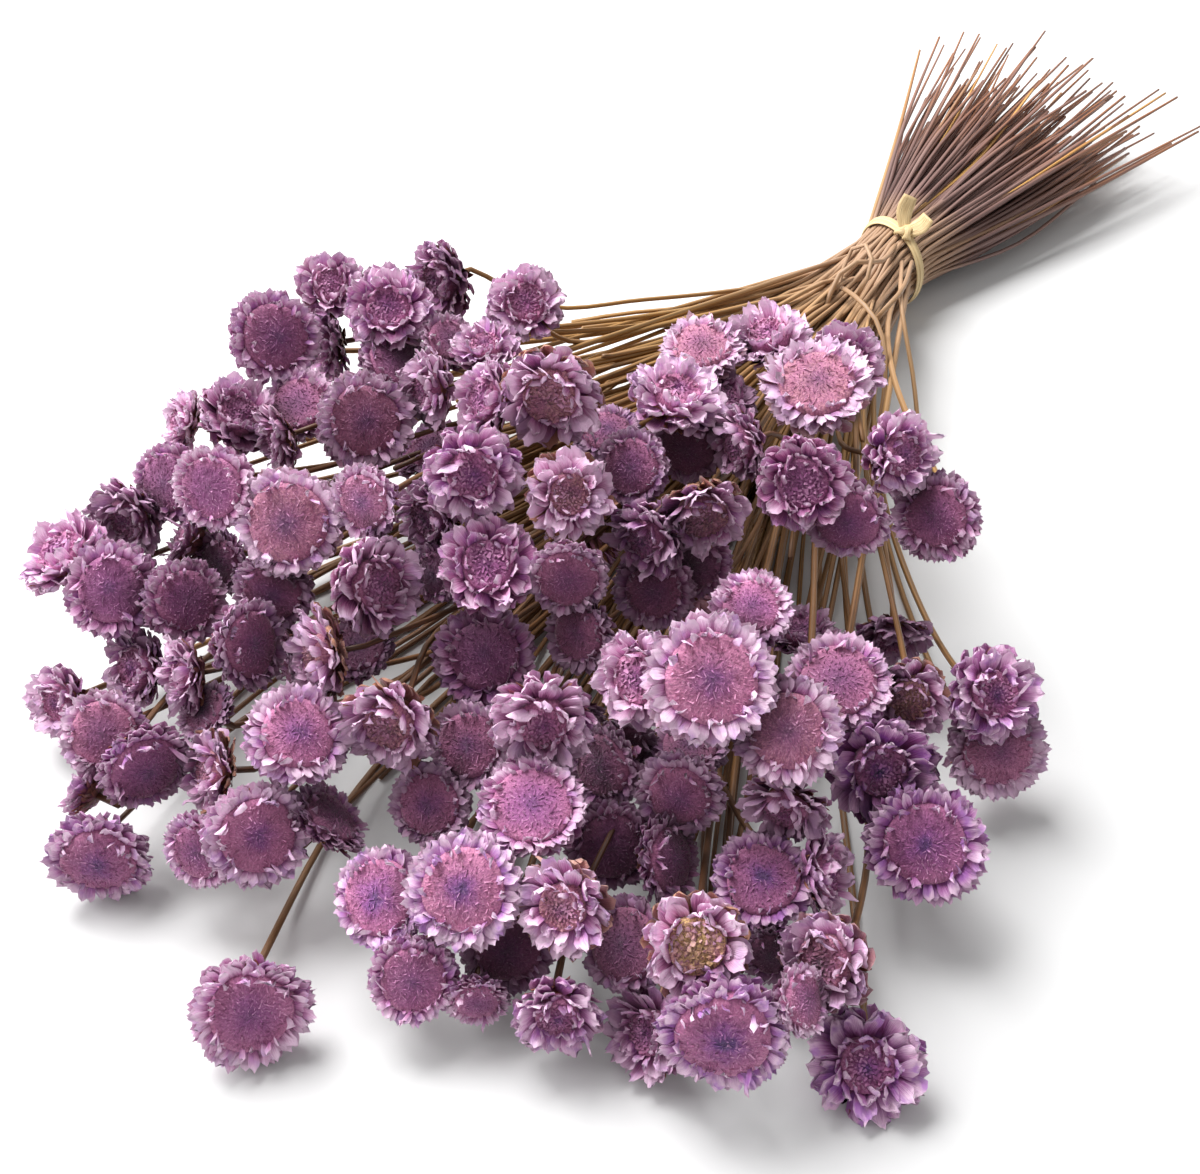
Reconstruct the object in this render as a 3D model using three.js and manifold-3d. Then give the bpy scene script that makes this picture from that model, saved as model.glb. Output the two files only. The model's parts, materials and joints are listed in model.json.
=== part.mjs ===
// A tied bunch of dyed, dried star flowers lying on its side: papery daisy-like heads on thin
// stems, held by one strip of straw, with the cut ends of the stems flaring out behind it.
// Millimetres, +Z up, the stems running along +Y, the heads at the low end of Y.
import * as THREE from 'three';
import { mergeVertices } from 'three/addons/utils/BufferGeometryUtils.js';
import Module from 'manifold-3d';

const wasm = await Module();
wasm.setup();

// Driving sizes
const STEM_RADIUS = 0.72;
const STEM_SIDES = 3;
const NECK_GAP = 0.3;
const PIECE_GAP = 0.3;
const WAIST_RADIUS = 9.6;
const WAIST_RIB = 0.5;
const WAIST_RIBS = 12;
const WAIST_HALF = 6;
const WAIST_CORE = 8;
const STRAP_INNER = WAIST_RADIUS + WAIST_RIB + 0.5;
const STRAP_THICK = 1.2;
const STRAP_WIDTH = 3.4;
const STRAP_FLAT = 0.35;
const WAIST_HEIGHT = STRAP_INNER + STRAP_THICK - STRAP_FLAT;
const TAIL_LENGTH = 120;
const TAIL_HALF_WIDTH = 44;
const TAIL_HALF_HEIGHT = 15.5;
const TAIL_SKEW = 2;
const PETALS = 8;
const NARROW_HEAD = 95;
const MOST_FUSED = 4;

// The photograph: a 1200 x 1174 frame seen from an eye that looks down at the surface.
// A pixel is turned into a sight line, and each head is set somewhere on its own line.
const FRAME_MIDDLE = { u: 600, v: 587 };
const FOCAL = 1440;
const PITCH = THREE.MathUtils.degToRad(45);
const EYE_HEIGHT = 221;
const TURN = THREE.MathUtils.degToRad(35);
const UP = new THREE.Vector3(0, 0, 1);
const turned = (x, y, z) => new THREE.Vector3(x, y, z).applyAxisAngle(UP, TURN);
const EYE = new THREE.Vector3(0, 0, EYE_HEIGHT);
const RIGHT = turned(1, 0, 0);
const AWAY = turned(0, 1, 0);
const FORWARD = turned(0, Math.cos(PITCH), -Math.sin(PITCH));
const DOWN = turned(0, -Math.sin(PITCH), -Math.cos(PITCH));

// The sight line of a pixel, one unit deep along the view.
function sightLine(u, v) {
  return FORWARD.clone()
    .addScaledVector(RIGHT, (u - FRAME_MIDDLE.u) / FOCAL)
    .addScaledVector(DOWN, (v - FRAME_MIDDLE.v) / FOCAL);
}

// The waist of the bunch, where the strip is tied.
const WAIST_PIXEL = { u: 890, v: 262 };
const waistLine = sightLine(WAIST_PIXEL.u, WAIST_PIXEL.v);
const waistDepth = (EYE_HEIGHT - WAIST_HEIGHT) / -waistLine.z;
const WAIST = EYE.clone().addScaledVector(waistLine, waistDepth);

// The mound that the heads make: it rises from the front edge to a crest and falls off at
// both sides. Heights in millimetres over the surface, at places measured from under the eye.
const MOUND = { frontY: 110, frontHeight: 12, rise: 0.52, crestHeight: 62, fall: 0.12,
  middleX: -10, halfWidth: 80, sideDrop: 20 };
function moundHeight(point) {
  const x = point.dot(RIGHT);
  const y = point.dot(AWAY);
  const crestY = MOUND.frontY + (MOUND.crestHeight - MOUND.frontHeight) / MOUND.rise;
  const front = MOUND.frontHeight + MOUND.rise * (y - MOUND.frontY);
  const back = MOUND.crestHeight - MOUND.fall * (y - crestY);
  const side = MOUND.sideDrop * ((x - MOUND.middleX) / MOUND.halfWidth) ** 2;
  return Math.min(front, back) - side;
}

// The heads, read off the photograph one by one: the pixel of the middle, the width in pixels,
// the lean of the face away from the viewer in degrees, the picture direction of that lean
// (0 right, 90 up, 180 left, 270 down), the form, and how deep it lies under the mound's top.
const HEADS = [
  // back row, left
  [275, 338, 100, 20, 20, 'flat', 0], [240, 415, 88, 35, 60, 'cup', 4],
  [180, 420, 70, 70, 165, 'cup', 4], [168, 482, 85, 35, 180, 'flat', 6],
  [212, 487, 92, 25, 190, 'flat', 0], [275, 440, 80, 75, 200, 'cup', 8],
  [127, 520, 90, 50, 220, 'cup', 9], [60, 552, 100, 60, 140, 'cup', 0],
  [330, 285, 75, 25, 90, 'cup', 2], [388, 308, 95, 20, 135, 'cup', 0],
  [438, 280, 86, 55, 200, 'cup', 5], [322, 345, 82, 70, 190, 'cup', 7],
  [365, 420, 106, 10, 0, 'flat', 0], [525, 302, 84, 18, 90, 'cup', 8],
  [425, 390, 88, 60, 190, 'cup', 7], [450, 342, 70, 40, 60, 'flat', 9],
  [484, 345, 78, 50, 100, 'cup', 6], [484, 398, 86, 55, 170, 'cup', 9],
  // back row, right
  [550, 397, 112, 25, 250, 'cup', 0], [473, 475, 108, 10, 300, 'cup', 2],
  [570, 495, 98, 10, 0, 'cup', 3], [632, 468, 84, 20, 180, 'flat', 12],
  [678, 392, 110, 50, 70, 'cup', -2], [702, 348, 92, 45, 90, 'flat', 6],
  [768, 334, 92, 50, 100, 'cup', 3], [818, 385, 120, 35, 90, 'flat', -4],
  [848, 362, 92, 30, 45, 'cup', 6], [803, 483, 103, 10, 270, 'cup', 0],
  [737, 445, 82, 55, 200, 'cup', 9], [703, 518, 98, 45, 280, 'cup', 2],
  [645, 540, 90, 50, 220, 'cup', 9], [690, 562, 92, 30, 270, 'flat', 14],
  [903, 455, 95, 40, 0, 'cup', 0], [848, 520, 92, 30, 250, 'flat', 12],
  [937, 516, 98, 15, 200, 'flat', 8],
  // left side
  [112, 589, 108, 15, 190, 'flat', 0], [186, 600, 92, 15, 10, 'flat', 9],
  [249, 645, 100, 45, 0, 'flat', 2], [181, 676, 88, 75, 190, 'cup', 5],
  [134, 668, 86, 50, 180, 'cup', 10], [58, 703, 85, 50, 200, 'cup', 9],
  [105, 733, 95, 15, 200, 'flat', 6], [146, 768, 100, 40, 300, 'flat', 10],
  [208, 770, 92, 65, 180, 'cup', 4], [298, 735, 114, 20, 60, 'flat', 2],
  [84, 788, 64, 112, 150, 'cup', 12], [100, 860, 112, 45, 250, 'flat', 2],
  [258, 834, 115, 15, 300, 'flat', 2], [200, 850, 88, 40, 220, 'flat', 11],
  [250, 1010, 130, 30, 270, 'flat', 2],
  // middle
  [288, 523, 118, 15, 200, 'flat', 0], [378, 585, 112, 35, 350, 'cup', 4],
  [487, 565, 108, 15, 100, 'cup', 6], [485, 655, 112, 10, 90, 'flat', 20],
  [315, 655, 108, 72, 190, 'cup', 4], [390, 727, 110, 45, 240, 'cup', 3],
  [470, 745, 95, 20, 190, 'flat', 13], [543, 725, 115, 25, 270, 'cup', 2],
  [430, 805, 90, 20, 200, 'flat', 14], [568, 577, 88, 30, 270, 'flat', 15],
  [580, 632, 92, 40, 200, 'flat', 20], [365, 502, 84, 40, 200, 'flat', 12],
  [428, 520, 90, 55, 200, 'cup', 14],
  // right side
  [712, 679, 145, 5, 0, 'flat', -17], [752, 607, 90, 20, 90, 'flat', -3],
  [638, 678, 106, 30, 180, 'cup', 0], [786, 730, 122, 10, 330, 'flat', -4],
  [838, 683, 115, 25, 90, 'flat', -2], [908, 700, 92, 30, 270, 'cup', 3],
  [995, 695, 108, 25, 350, 'cup', -2], [997, 750, 112, 25, 330, 'flat', 8],
  [880, 770, 120, 15, 280, 'cup', -3], [926, 843, 131, 10, 280, 'flat', -4],
  [893, 640, 82, 60, 270, 'cup', 30], [680, 795, 100, 30, 250, 'flat', 14],
  [670, 860, 98, 55, 0, 'flat', 10], [785, 812, 98, 60, 250, 'cup', 5],
  [604, 765, 94, 40, 200, 'flat', 13], [331, 818, 92, 60, 45, 'flat', 9],
  [655, 590, 90, 20, 250, 'flat', 16],
  // front
  [380, 897, 108, 25, 180, 'flat', 2], [463, 890, 128, 8, 200, 'flat', -4],
  [533, 807, 116, 25, 90, 'flat', -1], [562, 908, 112, 30, 220, 'cup', 0],
  [413, 980, 98, 20, 260, 'flat', 4], [508, 948, 100, 20, 270, 'flat', 10],
  [557, 1017, 100, 42, 270, 'cup', 2], [625, 945, 104, 25, 180, 'flat', 7],
  [697, 946, 117, 10, 270, 'cup', -2], [763, 880, 112, 20, 90, 'flat', 0],
  [827, 875, 96, 70, 0, 'cup', 6], [822, 963, 108, 30, 200, 'cup', 1],
  [648, 1033, 102, 35, 200, 'cup', 5], [724, 1035, 145, 42, 270, 'flat', -10],
  [803, 1000, 78, 50, 0, 'flat', -6], [867, 1067, 127, 15, 270, 'cup', 2],
  // in the shade between the others
  [298, 405, 84, 35, 120, 'flat', 12], [398, 362, 84, 40, 60, 'flat', 12],
  [722, 400, 80, 40, 60, 'cup', 14], [688, 448, 84, 35, 250, 'flat', 16],
  [607, 432, 76, 40, 90, 'flat', 14], [272, 592, 88, 30, 240, 'flat', 14],
  [222, 562, 72, 45, 200, 'flat', 14], [360, 648, 78, 35, 120, 'flat', 16],
  [206, 712, 72, 50, 150, 'flat', 16], [612, 846, 100, 20, 270, 'flat', 18],
  [690, 748, 84, 40, 90, 'flat', 20], [770, 952, 76, 40, 270, 'flat', 8],
  [478, 1000, 72, 50, 270, 'flat', 6], [802, 630, 74, 50, 90, 'cup', 16],
  [626, 744, 72, 40, 270, 'flat', 18], [436, 574, 66, 40, 200, 'flat', 16],
];

// Heads on the far and under side of the mound, in millimetres from under the eye:
// to the right, away, up, the width, and the way each one faces.
const HIDDEN_HEADS = [
  { at: [-84, 214, 22], across: 18, faces: [-0.9, 0.1, 0.4] },
  { at: [-58, 226, 18], across: 19, faces: [-0.8, 0.2, 0.6] },
  { at: [-36, 236, 26], across: 18, faces: [-0.4, 0.1, 0.9] },
  { at: [-30, 214, 12], across: 19, faces: [-0.9, -0.1, -0.3] },
  { at: [-4, 222, 12], across: 18, faces: [-0.4, -0.2, -0.8] },
  { at: [22, 200, 14], across: 19, faces: [0.6, -0.1, -0.7] },
  { at: [46, 186, 12], across: 18, faces: [0.95, -0.1, 0.1] },
  { at: [-62, 190, 12], across: 18, faces: [-0.8, -0.5, -0.1] },
  { at: [-8, 176, 10], across: 19, faces: [0, -0.9, -0.2] },
];

// Shapes of a head, as shares of its radius: the disc in the middle, the inner and outer
// petals with their tips and notches, and how high each stands over the outer tips.
const FORMS = {
  flat: { disc: 0.66, discHeight: 0.1, crown: 0.18, innerTip: 0.9, innerNotch: 0.72,
    innerHeight: 0.2, innerDip: 0.05, outerNotch: 0.84, outerLift: 0.04,
    calyx: 0.44, calyxDrop: 0.3, drop: 0.46 },
  cup: { disc: 0.46, discHeight: 0.08, crown: 0.1, innerTip: 0.8, innerNotch: 0.62,
    innerHeight: 0.34, innerDip: 0.05, outerNotch: 0.82, outerLift: 0.08,
    calyx: 0.46, calyxDrop: 0.34, drop: 0.52 },
};
const CALYX_SIDES = 4;

// One ring of points round the face's axis; every other one is a petal's tip.
function ring(count, radiusAt, heightAt, turnBy) {
  const points = [];
  for (let i = 0; i < count; i += 1) {
    const angle = turnBy + (i / count) * 2 * Math.PI;
    const radius = radiusAt(i);
    points.push(new THREE.Vector3(radius * Math.cos(angle), radius * Math.sin(angle), heightAt(i)));
  }
  return points;
}

// A closed surface through rings of points, from the pole below to the pole above.
function ringedGeometry(bottom, rings, top) {
  const points = [bottom, ...rings.flat(), top];
  const faces = [];
  const starts = [];
  let next = 1;
  for (const row of rings) {
    starts.push(next);
    next += row.length;
  }
  const last = points.length - 1;
  const at = (row, i) => starts[row] + (i % rings[row].length);
  for (let i = 0; i < rings[0].length; i += 1) faces.push(0, at(0, i + 1), at(0, i));
  for (let row = 0; row + 1 < rings.length; row += 1) {
    const low = rings[row].length;
    const high = rings[row + 1].length;
    let i = 0;
    let j = 0;
    while (i < low || j < high) {
      const lowNext = (i + 1) / low;
      const highNext = (j + 1) / high;
      if (j >= high || (i < low && lowNext <= highNext)) {
        faces.push(at(row, i), at(row, i + 1), at(row + 1, j));
        i += 1;
      } else {
        faces.push(at(row, i), at(row + 1, j + 1), at(row + 1, j));
        j += 1;
      }
    }
  }
  const end = rings.length - 1;
  for (let i = 0; i < rings[end].length; i += 1) faces.push(at(end, i), at(end, i + 1), last);
  const geometry = new THREE.BufferGeometry();
  const places = points.flatMap((p) => p.toArray());
  geometry.setAttribute('position', new THREE.Float32BufferAttribute(places, 3));
  geometry.setIndex(faces);
  return geometry;
}

function discRing(head, form) {
  const R = head.radius;
  return ring(head.petals, () => R * form.disc, () => R * form.discHeight, Math.PI / (2 * head.petals));
}

// A head about its own axis (+Z), its widest ring at height 0.
function headGeometry(head) {
  const form = FORMS[head.form];
  const R = head.radius;
  const tips = 2 * head.petals;
  const outer = ring(tips, (i) => R * (i % 2 ? form.outerNotch : 1),
    (i) => R * (i % 2 ? form.outerLift : 0), 0);
  const inner = ring(tips, (i) => R * (i % 2 ? form.innerTip : form.innerNotch),
    (i) => R * (form.innerHeight - (i % 2 ? 0 : form.innerDip)), 0);
  const disc = discRing(head, form);
  const calyx = ring(CALYX_SIDES, () => R * form.calyx, () => -R * form.calyxDrop, 0);
  const bottom = new THREE.Vector3(0, 0, -R * form.drop);
  const top = new THREE.Vector3(0, 0, R * form.crown);
  return ringedGeometry(bottom, [calyx, outer, inner, disc], top);
}

// Solids
function solidOf(geometry) {
  const bare = geometry.clone();
  bare.deleteAttribute('normal');
  bare.deleteAttribute('uv');
  const merged = mergeVertices(bare, 1e-5);
  return new wasm.Manifold(new wasm.Mesh({
    numProp: 3,
    vertProperties: new Float32Array(merged.attributes.position.array),
    triVerts: new Uint32Array(merged.index.array),
  }));
}

function geometryOf(solid) {
  const mesh = solid.getMesh();
  const geometry = new THREE.BufferGeometry();
  geometry.setAttribute('position', new THREE.BufferAttribute(mesh.vertProperties.slice(), 3));
  geometry.setIndex(new THREE.BufferAttribute(mesh.triVerts.slice(), 1));
  return geometry;
}

// A head at a depth on its sight line, or at its own place when it was given one.
function poseAt(head, depth) {
  const line = sightLine(head.u, head.v);
  const middle = EYE.clone().addScaledVector(line, depth);
  const radius = 0.5 * head.wide * depth / FOCAL;
  const face = head.faces ? head.faces.clone() : faceOf(head, line);
  const turn = new THREE.Quaternion().setFromUnitVectors(UP, face);
  const spin = new THREE.Quaternion().setFromAxisAngle(UP, head.spin);
  const place = new THREE.Matrix4().compose(middle, turn.multiply(spin), new THREE.Vector3(1, 1, 1));
  const petals = head.wide < NARROW_HEAD ? PETALS - 1 : PETALS;
  return { head, depth, middle, face, radius, petals, form: head.form, place };
}

function faceOf(head, line) {
  const toViewer = line.clone().normalize().negate();
  const way = THREE.MathUtils.degToRad(head.toward);
  const lean = THREE.MathUtils.degToRad(head.lean);
  const aside = RIGHT.clone().multiplyScalar(Math.cos(way)).addScaledVector(DOWN, -Math.sin(way));
  aside.addScaledVector(toViewer, -aside.dot(toViewer)).normalize();
  return toViewer.multiplyScalar(Math.cos(lean)).addScaledVector(aside, Math.sin(lean)).normalize();
}

function solidAt(pose, grow) {
  const geometry = headGeometry({ ...pose, radius: pose.radius + grow });
  geometry.applyMatrix4(pose.place);
  return solidOf(geometry);
}

const NEAREST_DEPTH = 150;
const DEPTH_STEP = 0.5;

// The depth at which a sight line first meets the mound, less what the head lies under it.
function moundDepth(head) {
  const line = sightLine(head.u, head.v);
  let depth = NEAREST_DEPTH;
  let point = EYE.clone().addScaledVector(line, depth);
  while (point.z > moundHeight(point) - head.sink && point.z > 0) {
    depth += DEPTH_STEP;
    point = EYE.clone().addScaledVector(line, depth);
  }
  return depth;
}

// Each head is turned a little on from the one before it, so that no two petals line up.
const SPIN_STEP = 0.61;

function allHeads() {
  const heads = HEADS.map(([u, v, wide, lean, toward, form, sink], i) => {
    const head = { u, v, wide, lean, toward, form, sink, spin: i * SPIN_STEP };
    head.depth = moundDepth(head);
    return head;
  });
  HIDDEN_HEADS.forEach((hidden, i) => {
    const point = turned(...hidden.at);
    const out = point.clone().sub(EYE);
    const depth = out.dot(FORWARD);
    heads.push({
      u: FRAME_MIDDLE.u + FOCAL * out.dot(RIGHT) / depth,
      v: FRAME_MIDDLE.v + FOCAL * out.dot(DOWN) / depth,
      wide: hidden.across * FOCAL / depth,
      faces: turned(...hidden.faces).normalize(),
      form: 'flat',
      depth,
      spin: i * SPIN_STEP,
    });
  });
  return heads.sort((a, b) => a.depth - b.depth);
}

// Heads are set from the nearest to the furthest, each on its own sight line. One that runs into
// others slides back until it is clear of them. A clear one leans on a neighbour where it can: it
// slides a little until its petals bite into one group of heads, and is joined to that group.
const SLIDE_STEP = 0.7;
const SLIDE_FORWARD = 15;
const SLIDE_BACK = 18;
const SLIDE_MOST = 45;
const BITE_LEAST = 0.6;
const BITE_MOST = 40;
const BITE_BEST = 1.5;
const SAME_POINT = 0.01;
const NEAR_SHARE = 1.15;
const RESTING_SPAN = 60;
const HALVINGS = 40;

// The points of a head's disc, which stay whole when heads are joined.
function discPoints(pose) {
  const form = FORMS[pose.form];
  const points = discRing(pose, form);
  points.push(new THREE.Vector3(0, 0, pose.radius * form.crown));
  return points.map((p) => p.applyMatrix4(pose.place));
}

function keepsDiscs(solid, poses) {
  const { vertProperties } = solid.getMesh();
  return poses.every((pose) => discPoints(pose).every((p) => {
    for (let i = 0; i < vertProperties.length; i += 3) {
      const far = Math.abs(vertProperties[i] - p.x) + Math.abs(vertProperties[i + 1] - p.y)
        + Math.abs(vertProperties[i + 2] - p.z);
      if (far < SAME_POINT) return true;
    }
    return false;
  }));
}

const lowest = (solid) => solid.boundingBox().min[2];

// The furthest depth at which a head still stands clear of the surface: there it rests on it.
function restingDepth(head, from) {
  let low = from - RESTING_SPAN;
  let high = from + RESTING_SPAN;
  for (let i = 0; i < HALVINGS; i += 1) {
    const depth = (low + high) / 2;
    if (lowest(solidAt(poseAt(head, depth), 0)) >= 0) low = depth;
    else high = depth;
  }
  return low;
}

// What a head meets at a depth: nothing, groups that it may be joined to, or too much.
function meeting(head, depth, groups) {
  const pose = poseAt(head, depth);
  const solid = solidAt(pose, 0);
  const grown = solidAt(pose, PIECE_GAP);
  const isNear = (other) =>
    other.middle.distanceTo(pose.middle) < NEAR_SHARE * (other.radius + pose.radius) + PIECE_GAP;
  const near = groups.filter((group) => group.poses.some(isNear));
  const touched = near.filter((group) => grown.intersect(group.solid).volume() > 0);
  if (touched.length === 0) return { kind: 'clear', pose, solid };
  const poses = [...touched.flatMap((group) => group.poses), pose];
  if (poses.length > MOST_FUSED) return { kind: 'blocked', pose };
  const bites = touched.map((group) => solid.intersect(group.solid).volume());
  if (Math.max(...bites) > BITE_MOST) return { kind: 'blocked', pose };
  if (Math.min(...bites) < BITE_LEAST) return { kind: 'close', pose };
  const joined = touched.reduce((sum, group) => sum.add(group.solid), solid);
  if (!keepsDiscs(joined, poses)) return { kind: 'blocked', pose };
  return { kind: 'joins', pose, poses, touched, solid: joined, bite: Math.min(...bites) };
}

// Slides from a depth, step by step, until the head joins a group; stops where it is blocked.
function slideToJoin(head, from, step, most, floor, groups) {
  let joined = null;
  for (let slid = 0; slid <= most; slid += Math.abs(step)) {
    const depth = from + Math.sign(step) * slid;
    if (depth > floor) return joined;
    const found = meeting(head, depth, groups);
    if (found.kind === 'blocked') return joined;
    if (found.kind === 'joins') joined = found;
    if (joined && joined.bite >= BITE_BEST) return joined;
  }
  return joined;
}

function settle(found, groups) {
  (found.touched ?? []).forEach((group) => groups.splice(groups.indexOf(group), 1));
  groups.push({ solid: found.solid, poses: found.poses ?? [found.pose] });
}

// A head that still stands alone looks once more for a neighbour, now that all are set.
function joinLoneHeads(groups) {
  for (const lone of groups.filter((group) => group.poses.length === 1)) {
    if (!groups.includes(lone)) continue;
    const [pose] = lone.poses;
    const { head } = pose;
    const others = groups.filter((group) => group !== lone);
    const floor = restingDepth(head, head.depth);
    const found = slideToJoin(head, pose.depth, -SLIDE_STEP, SLIDE_FORWARD, floor, others)
      || slideToJoin(head, pose.depth, SLIDE_STEP, SLIDE_BACK, floor, others);
    if (!found) continue;
    groups.splice(groups.indexOf(lone), 1);
    settle(found, groups);
  }
}

function placeHeads() {
  const groups = [];
  for (const head of allHeads()) {
    const floor = restingDepth(head, head.depth);
    let depth = Math.min(head.depth, floor);
    let found = meeting(head, depth, groups);
    const furthest = Math.min(head.depth + SLIDE_MOST, floor);
    const held = () => found.kind === 'blocked' || found.kind === 'close';
    while (held() && depth < furthest) {
      depth = Math.min(depth + SLIDE_STEP, floor);
      found = meeting(head, depth, groups);
    }
    if (held()) {
      throw new Error(`no room for the head at pixel ${head.u}, ${head.v}`);
    }
    if (found.kind === 'clear') {
      found = slideToJoin(head, depth, -SLIDE_STEP, SLIDE_FORWARD, floor, groups)
        || slideToJoin(head, depth, SLIDE_STEP, SLIDE_BACK, floor, groups) || found;
    }
    settle(found, groups);
  }
  joinLoneHeads(groups);
  return groups;
}

// The stems
// Each one leaves its head backwards, bends to the waist, is held there and runs on to its cut
// end. The places in the waist keep the order in which the heads are spread out.
const NECK_STRAIGHT = 4;
const STEM_POINTS = 26;
const STEM_STEPS = [5, 6, 7, 9, 12];
const GROOVED_STEPS = 7;
const INNER_SLOT = 0.75;
const HIT_LEAST = 0.002;
const CHANNEL = 0.7;
const SPARE = 0.1;
const HEAD_CLEAR = 2.1;
const STEM_APART = 1.95;
const SLOT_APART = 1.5;
const CORNER_SHARE = 0.5;
const SLOT_REACH = WAIST_RADIUS - STEM_RADIUS - 0.7;
const STEM_FLOOR = STEM_RADIUS + 0.05;
const RELAX_ROUNDS = 90;
const RELAX_SHARE = 0.4;
const SLOT_ROUNDS = 200;
const PUSH_SHARE = 0.3;
const TINY = 1e-6;
const TWIN_REACH = 12;

// The ball that stems keep out of round each head, as shares of its radius: half its height,
// how far it is set back, and how much it sends stems to the back.
const BALL = { tall: 0.42, back: 0.12, bias: 0.15 };

// How stiffly a stem leaves its head and the waist, as shares of its length, and how far the
// stems have fanned out at the end of the waist's pull, in millimetres for a full slope.
const PULL = { neck: 0.16, waist: 0.4, across: 9, up: 6 };

// The cut ends: shortest share of the length, how few are long, uneven spread, a little
// sideways straying, and the bow of each stem.
const TAIL = { shortest: 0.58, fewLong: 1.7, uneven: 0.1, stray: 3, bow: -0.03, rootedAt: 2.4 };
const scatter = (i, k) => {
  const x = Math.sin(i * 12.9898 + k * 78.233) * 43758.5453;
  return x - Math.floor(x);
};

// Places in the waist: the widest spread heads outside, the middle ones in the core, and all
// of them eased apart until the stems lie side by side.
function waistSlots(poses) {
  const slots = poses.map((pose) => {
    const out = pose.middle.clone().sub(WAIST);
    return { across: out.x / -out.y, up: out.z / -out.y };
  });
  const ranks = (value) => {
    const order = slots.map((slot, i) => i).sort((i, j) => slots[i][value] - slots[j][value]);
    const rank = [];
    order.forEach((i, at) => { rank[i] = (at + 0.5) / order.length * 2 - 1; });
    return rank;
  };
  const acrossRank = ranks('across');
  const upRank = ranks('up');
  slots.forEach((slot, i) => {
    slot.x = acrossRank[i] * SLOT_REACH * Math.sqrt(1 - CORNER_SHARE * upRank[i] ** 2);
    slot.z = upRank[i] * SLOT_REACH * Math.sqrt(1 - CORNER_SHARE * acrossRank[i] ** 2);
  });
  for (let round = 0; round < SLOT_ROUNDS; round += 1) {
    for (let i = 0; i < slots.length; i += 1) {
      for (let j = 0; j < i; j += 1) {
        const dx = slots[i].x - slots[j].x;
        const dz = slots[i].z - slots[j].z;
        const apart = Math.hypot(dx, dz) || TINY;
        if (apart >= SLOT_APART) continue;
        const push = PUSH_SHARE * (SLOT_APART - apart) / apart;
        slots[i].x += dx * push;
        slots[i].z += dz * push;
        slots[j].x -= dx * push;
        slots[j].z -= dz * push;
      }
      const reach = Math.hypot(slots[i].x, slots[i].z);
      if (reach > SLOT_REACH) {
        slots[i].x *= SLOT_REACH / reach;
        slots[i].z *= SLOT_REACH / reach;
      }
    }
  }
  return slots;
}

// Keeps a point out of the flattened ball round a head.
function keepOut(point, pose) {
  const off = point.clone().sub(pose.middle);
  const height = off.dot(pose.face);
  const flat = off.clone().addScaledVector(pose.face, -height);
  const tall = BALL.tall * pose.radius + HEAD_CLEAR;
  const wideBy = flat.length() / (pose.radius + HEAD_CLEAR);
  const tallBy = (height + BALL.back * pose.radius) / tall;
  const inside = Math.hypot(wideBy, tallBy);
  if (inside >= 1) return;
  const away = flat.normalize().multiplyScalar(wideBy);
  away.addScaledVector(pose.face, tallBy - BALL.bias).normalize();
  point.addScaledVector(away, (1 - inside) * tall);
}

// A stem's natural line, before it gives way to its neighbours.
function naturalPath(pose, slot) {
  const form = FORMS[pose.form];
  const back = pose.face.clone().negate();
  const base = pose.middle.clone().addScaledVector(back, form.drop * pose.radius + NECK_GAP);
  const end = WAIST.clone().add(new THREE.Vector3(slot.x, -WAIST_HALF, slot.z));
  const neck = base.clone().addScaledVector(back, NECK_STRAIGHT);
  const reach = neck.distanceTo(end);
  const curve = new THREE.CubicBezierCurve3(
    neck,
    neck.clone().addScaledVector(back, PULL.neck * reach),
    end.clone().add(new THREE.Vector3(slot.across * PULL.across, -PULL.waist * reach, slot.up * PULL.up)),
    end,
  );
  const path = [base, ...curve.getSpacedPoints(STEM_POINTS)];
  path.forEach((p) => { p.z = Math.max(p.z, STEM_FLOOR); });
  return path;
}

// Pushes a point off a stretch of another stem.
const along = new THREE.Vector3();
const between = new THREE.Vector3();
function partFrom(point, from, to) {
  along.subVectors(to, from);
  between.subVectors(point, from);
  const share = THREE.MathUtils.clamp(between.dot(along) / along.lengthSq(), 0, 1);
  between.addScaledVector(along, -share);
  const apart = between.length();
  if (apart >= STEM_APART || apart < TINY) return;
  const push = PUSH_SHARE * (STEM_APART - apart) / apart;
  point.addScaledVector(between, push);
  from.addScaledVector(between, -push * (1 - share));
  to.addScaledVector(between, -push * share);
}

function partStems(paths) {
  const last = STEM_POINTS + 1;
  const lengths = paths.map((path) => path[1].distanceTo(path[last]));
  paths.forEach((path, s) => {
    for (let other = 0; other < paths.length; other += 1) {
      if (other === s) continue;
      const ratio = lengths[s] / lengths[other];
      for (let i = 3; i < last - 1; i += 1) {
        const twin = Math.round(last - (last - i) * ratio);
        for (let j = Math.max(2, twin - 2); j < Math.min(last - 1, twin + 2); j += 1) {
          if (Math.abs(path[i].x - paths[other][j].x) > TWIN_REACH) continue;
          partFrom(path[i], paths[other][j], paths[other][j + 1]);
        }
      }
    }
  });
}

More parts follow.
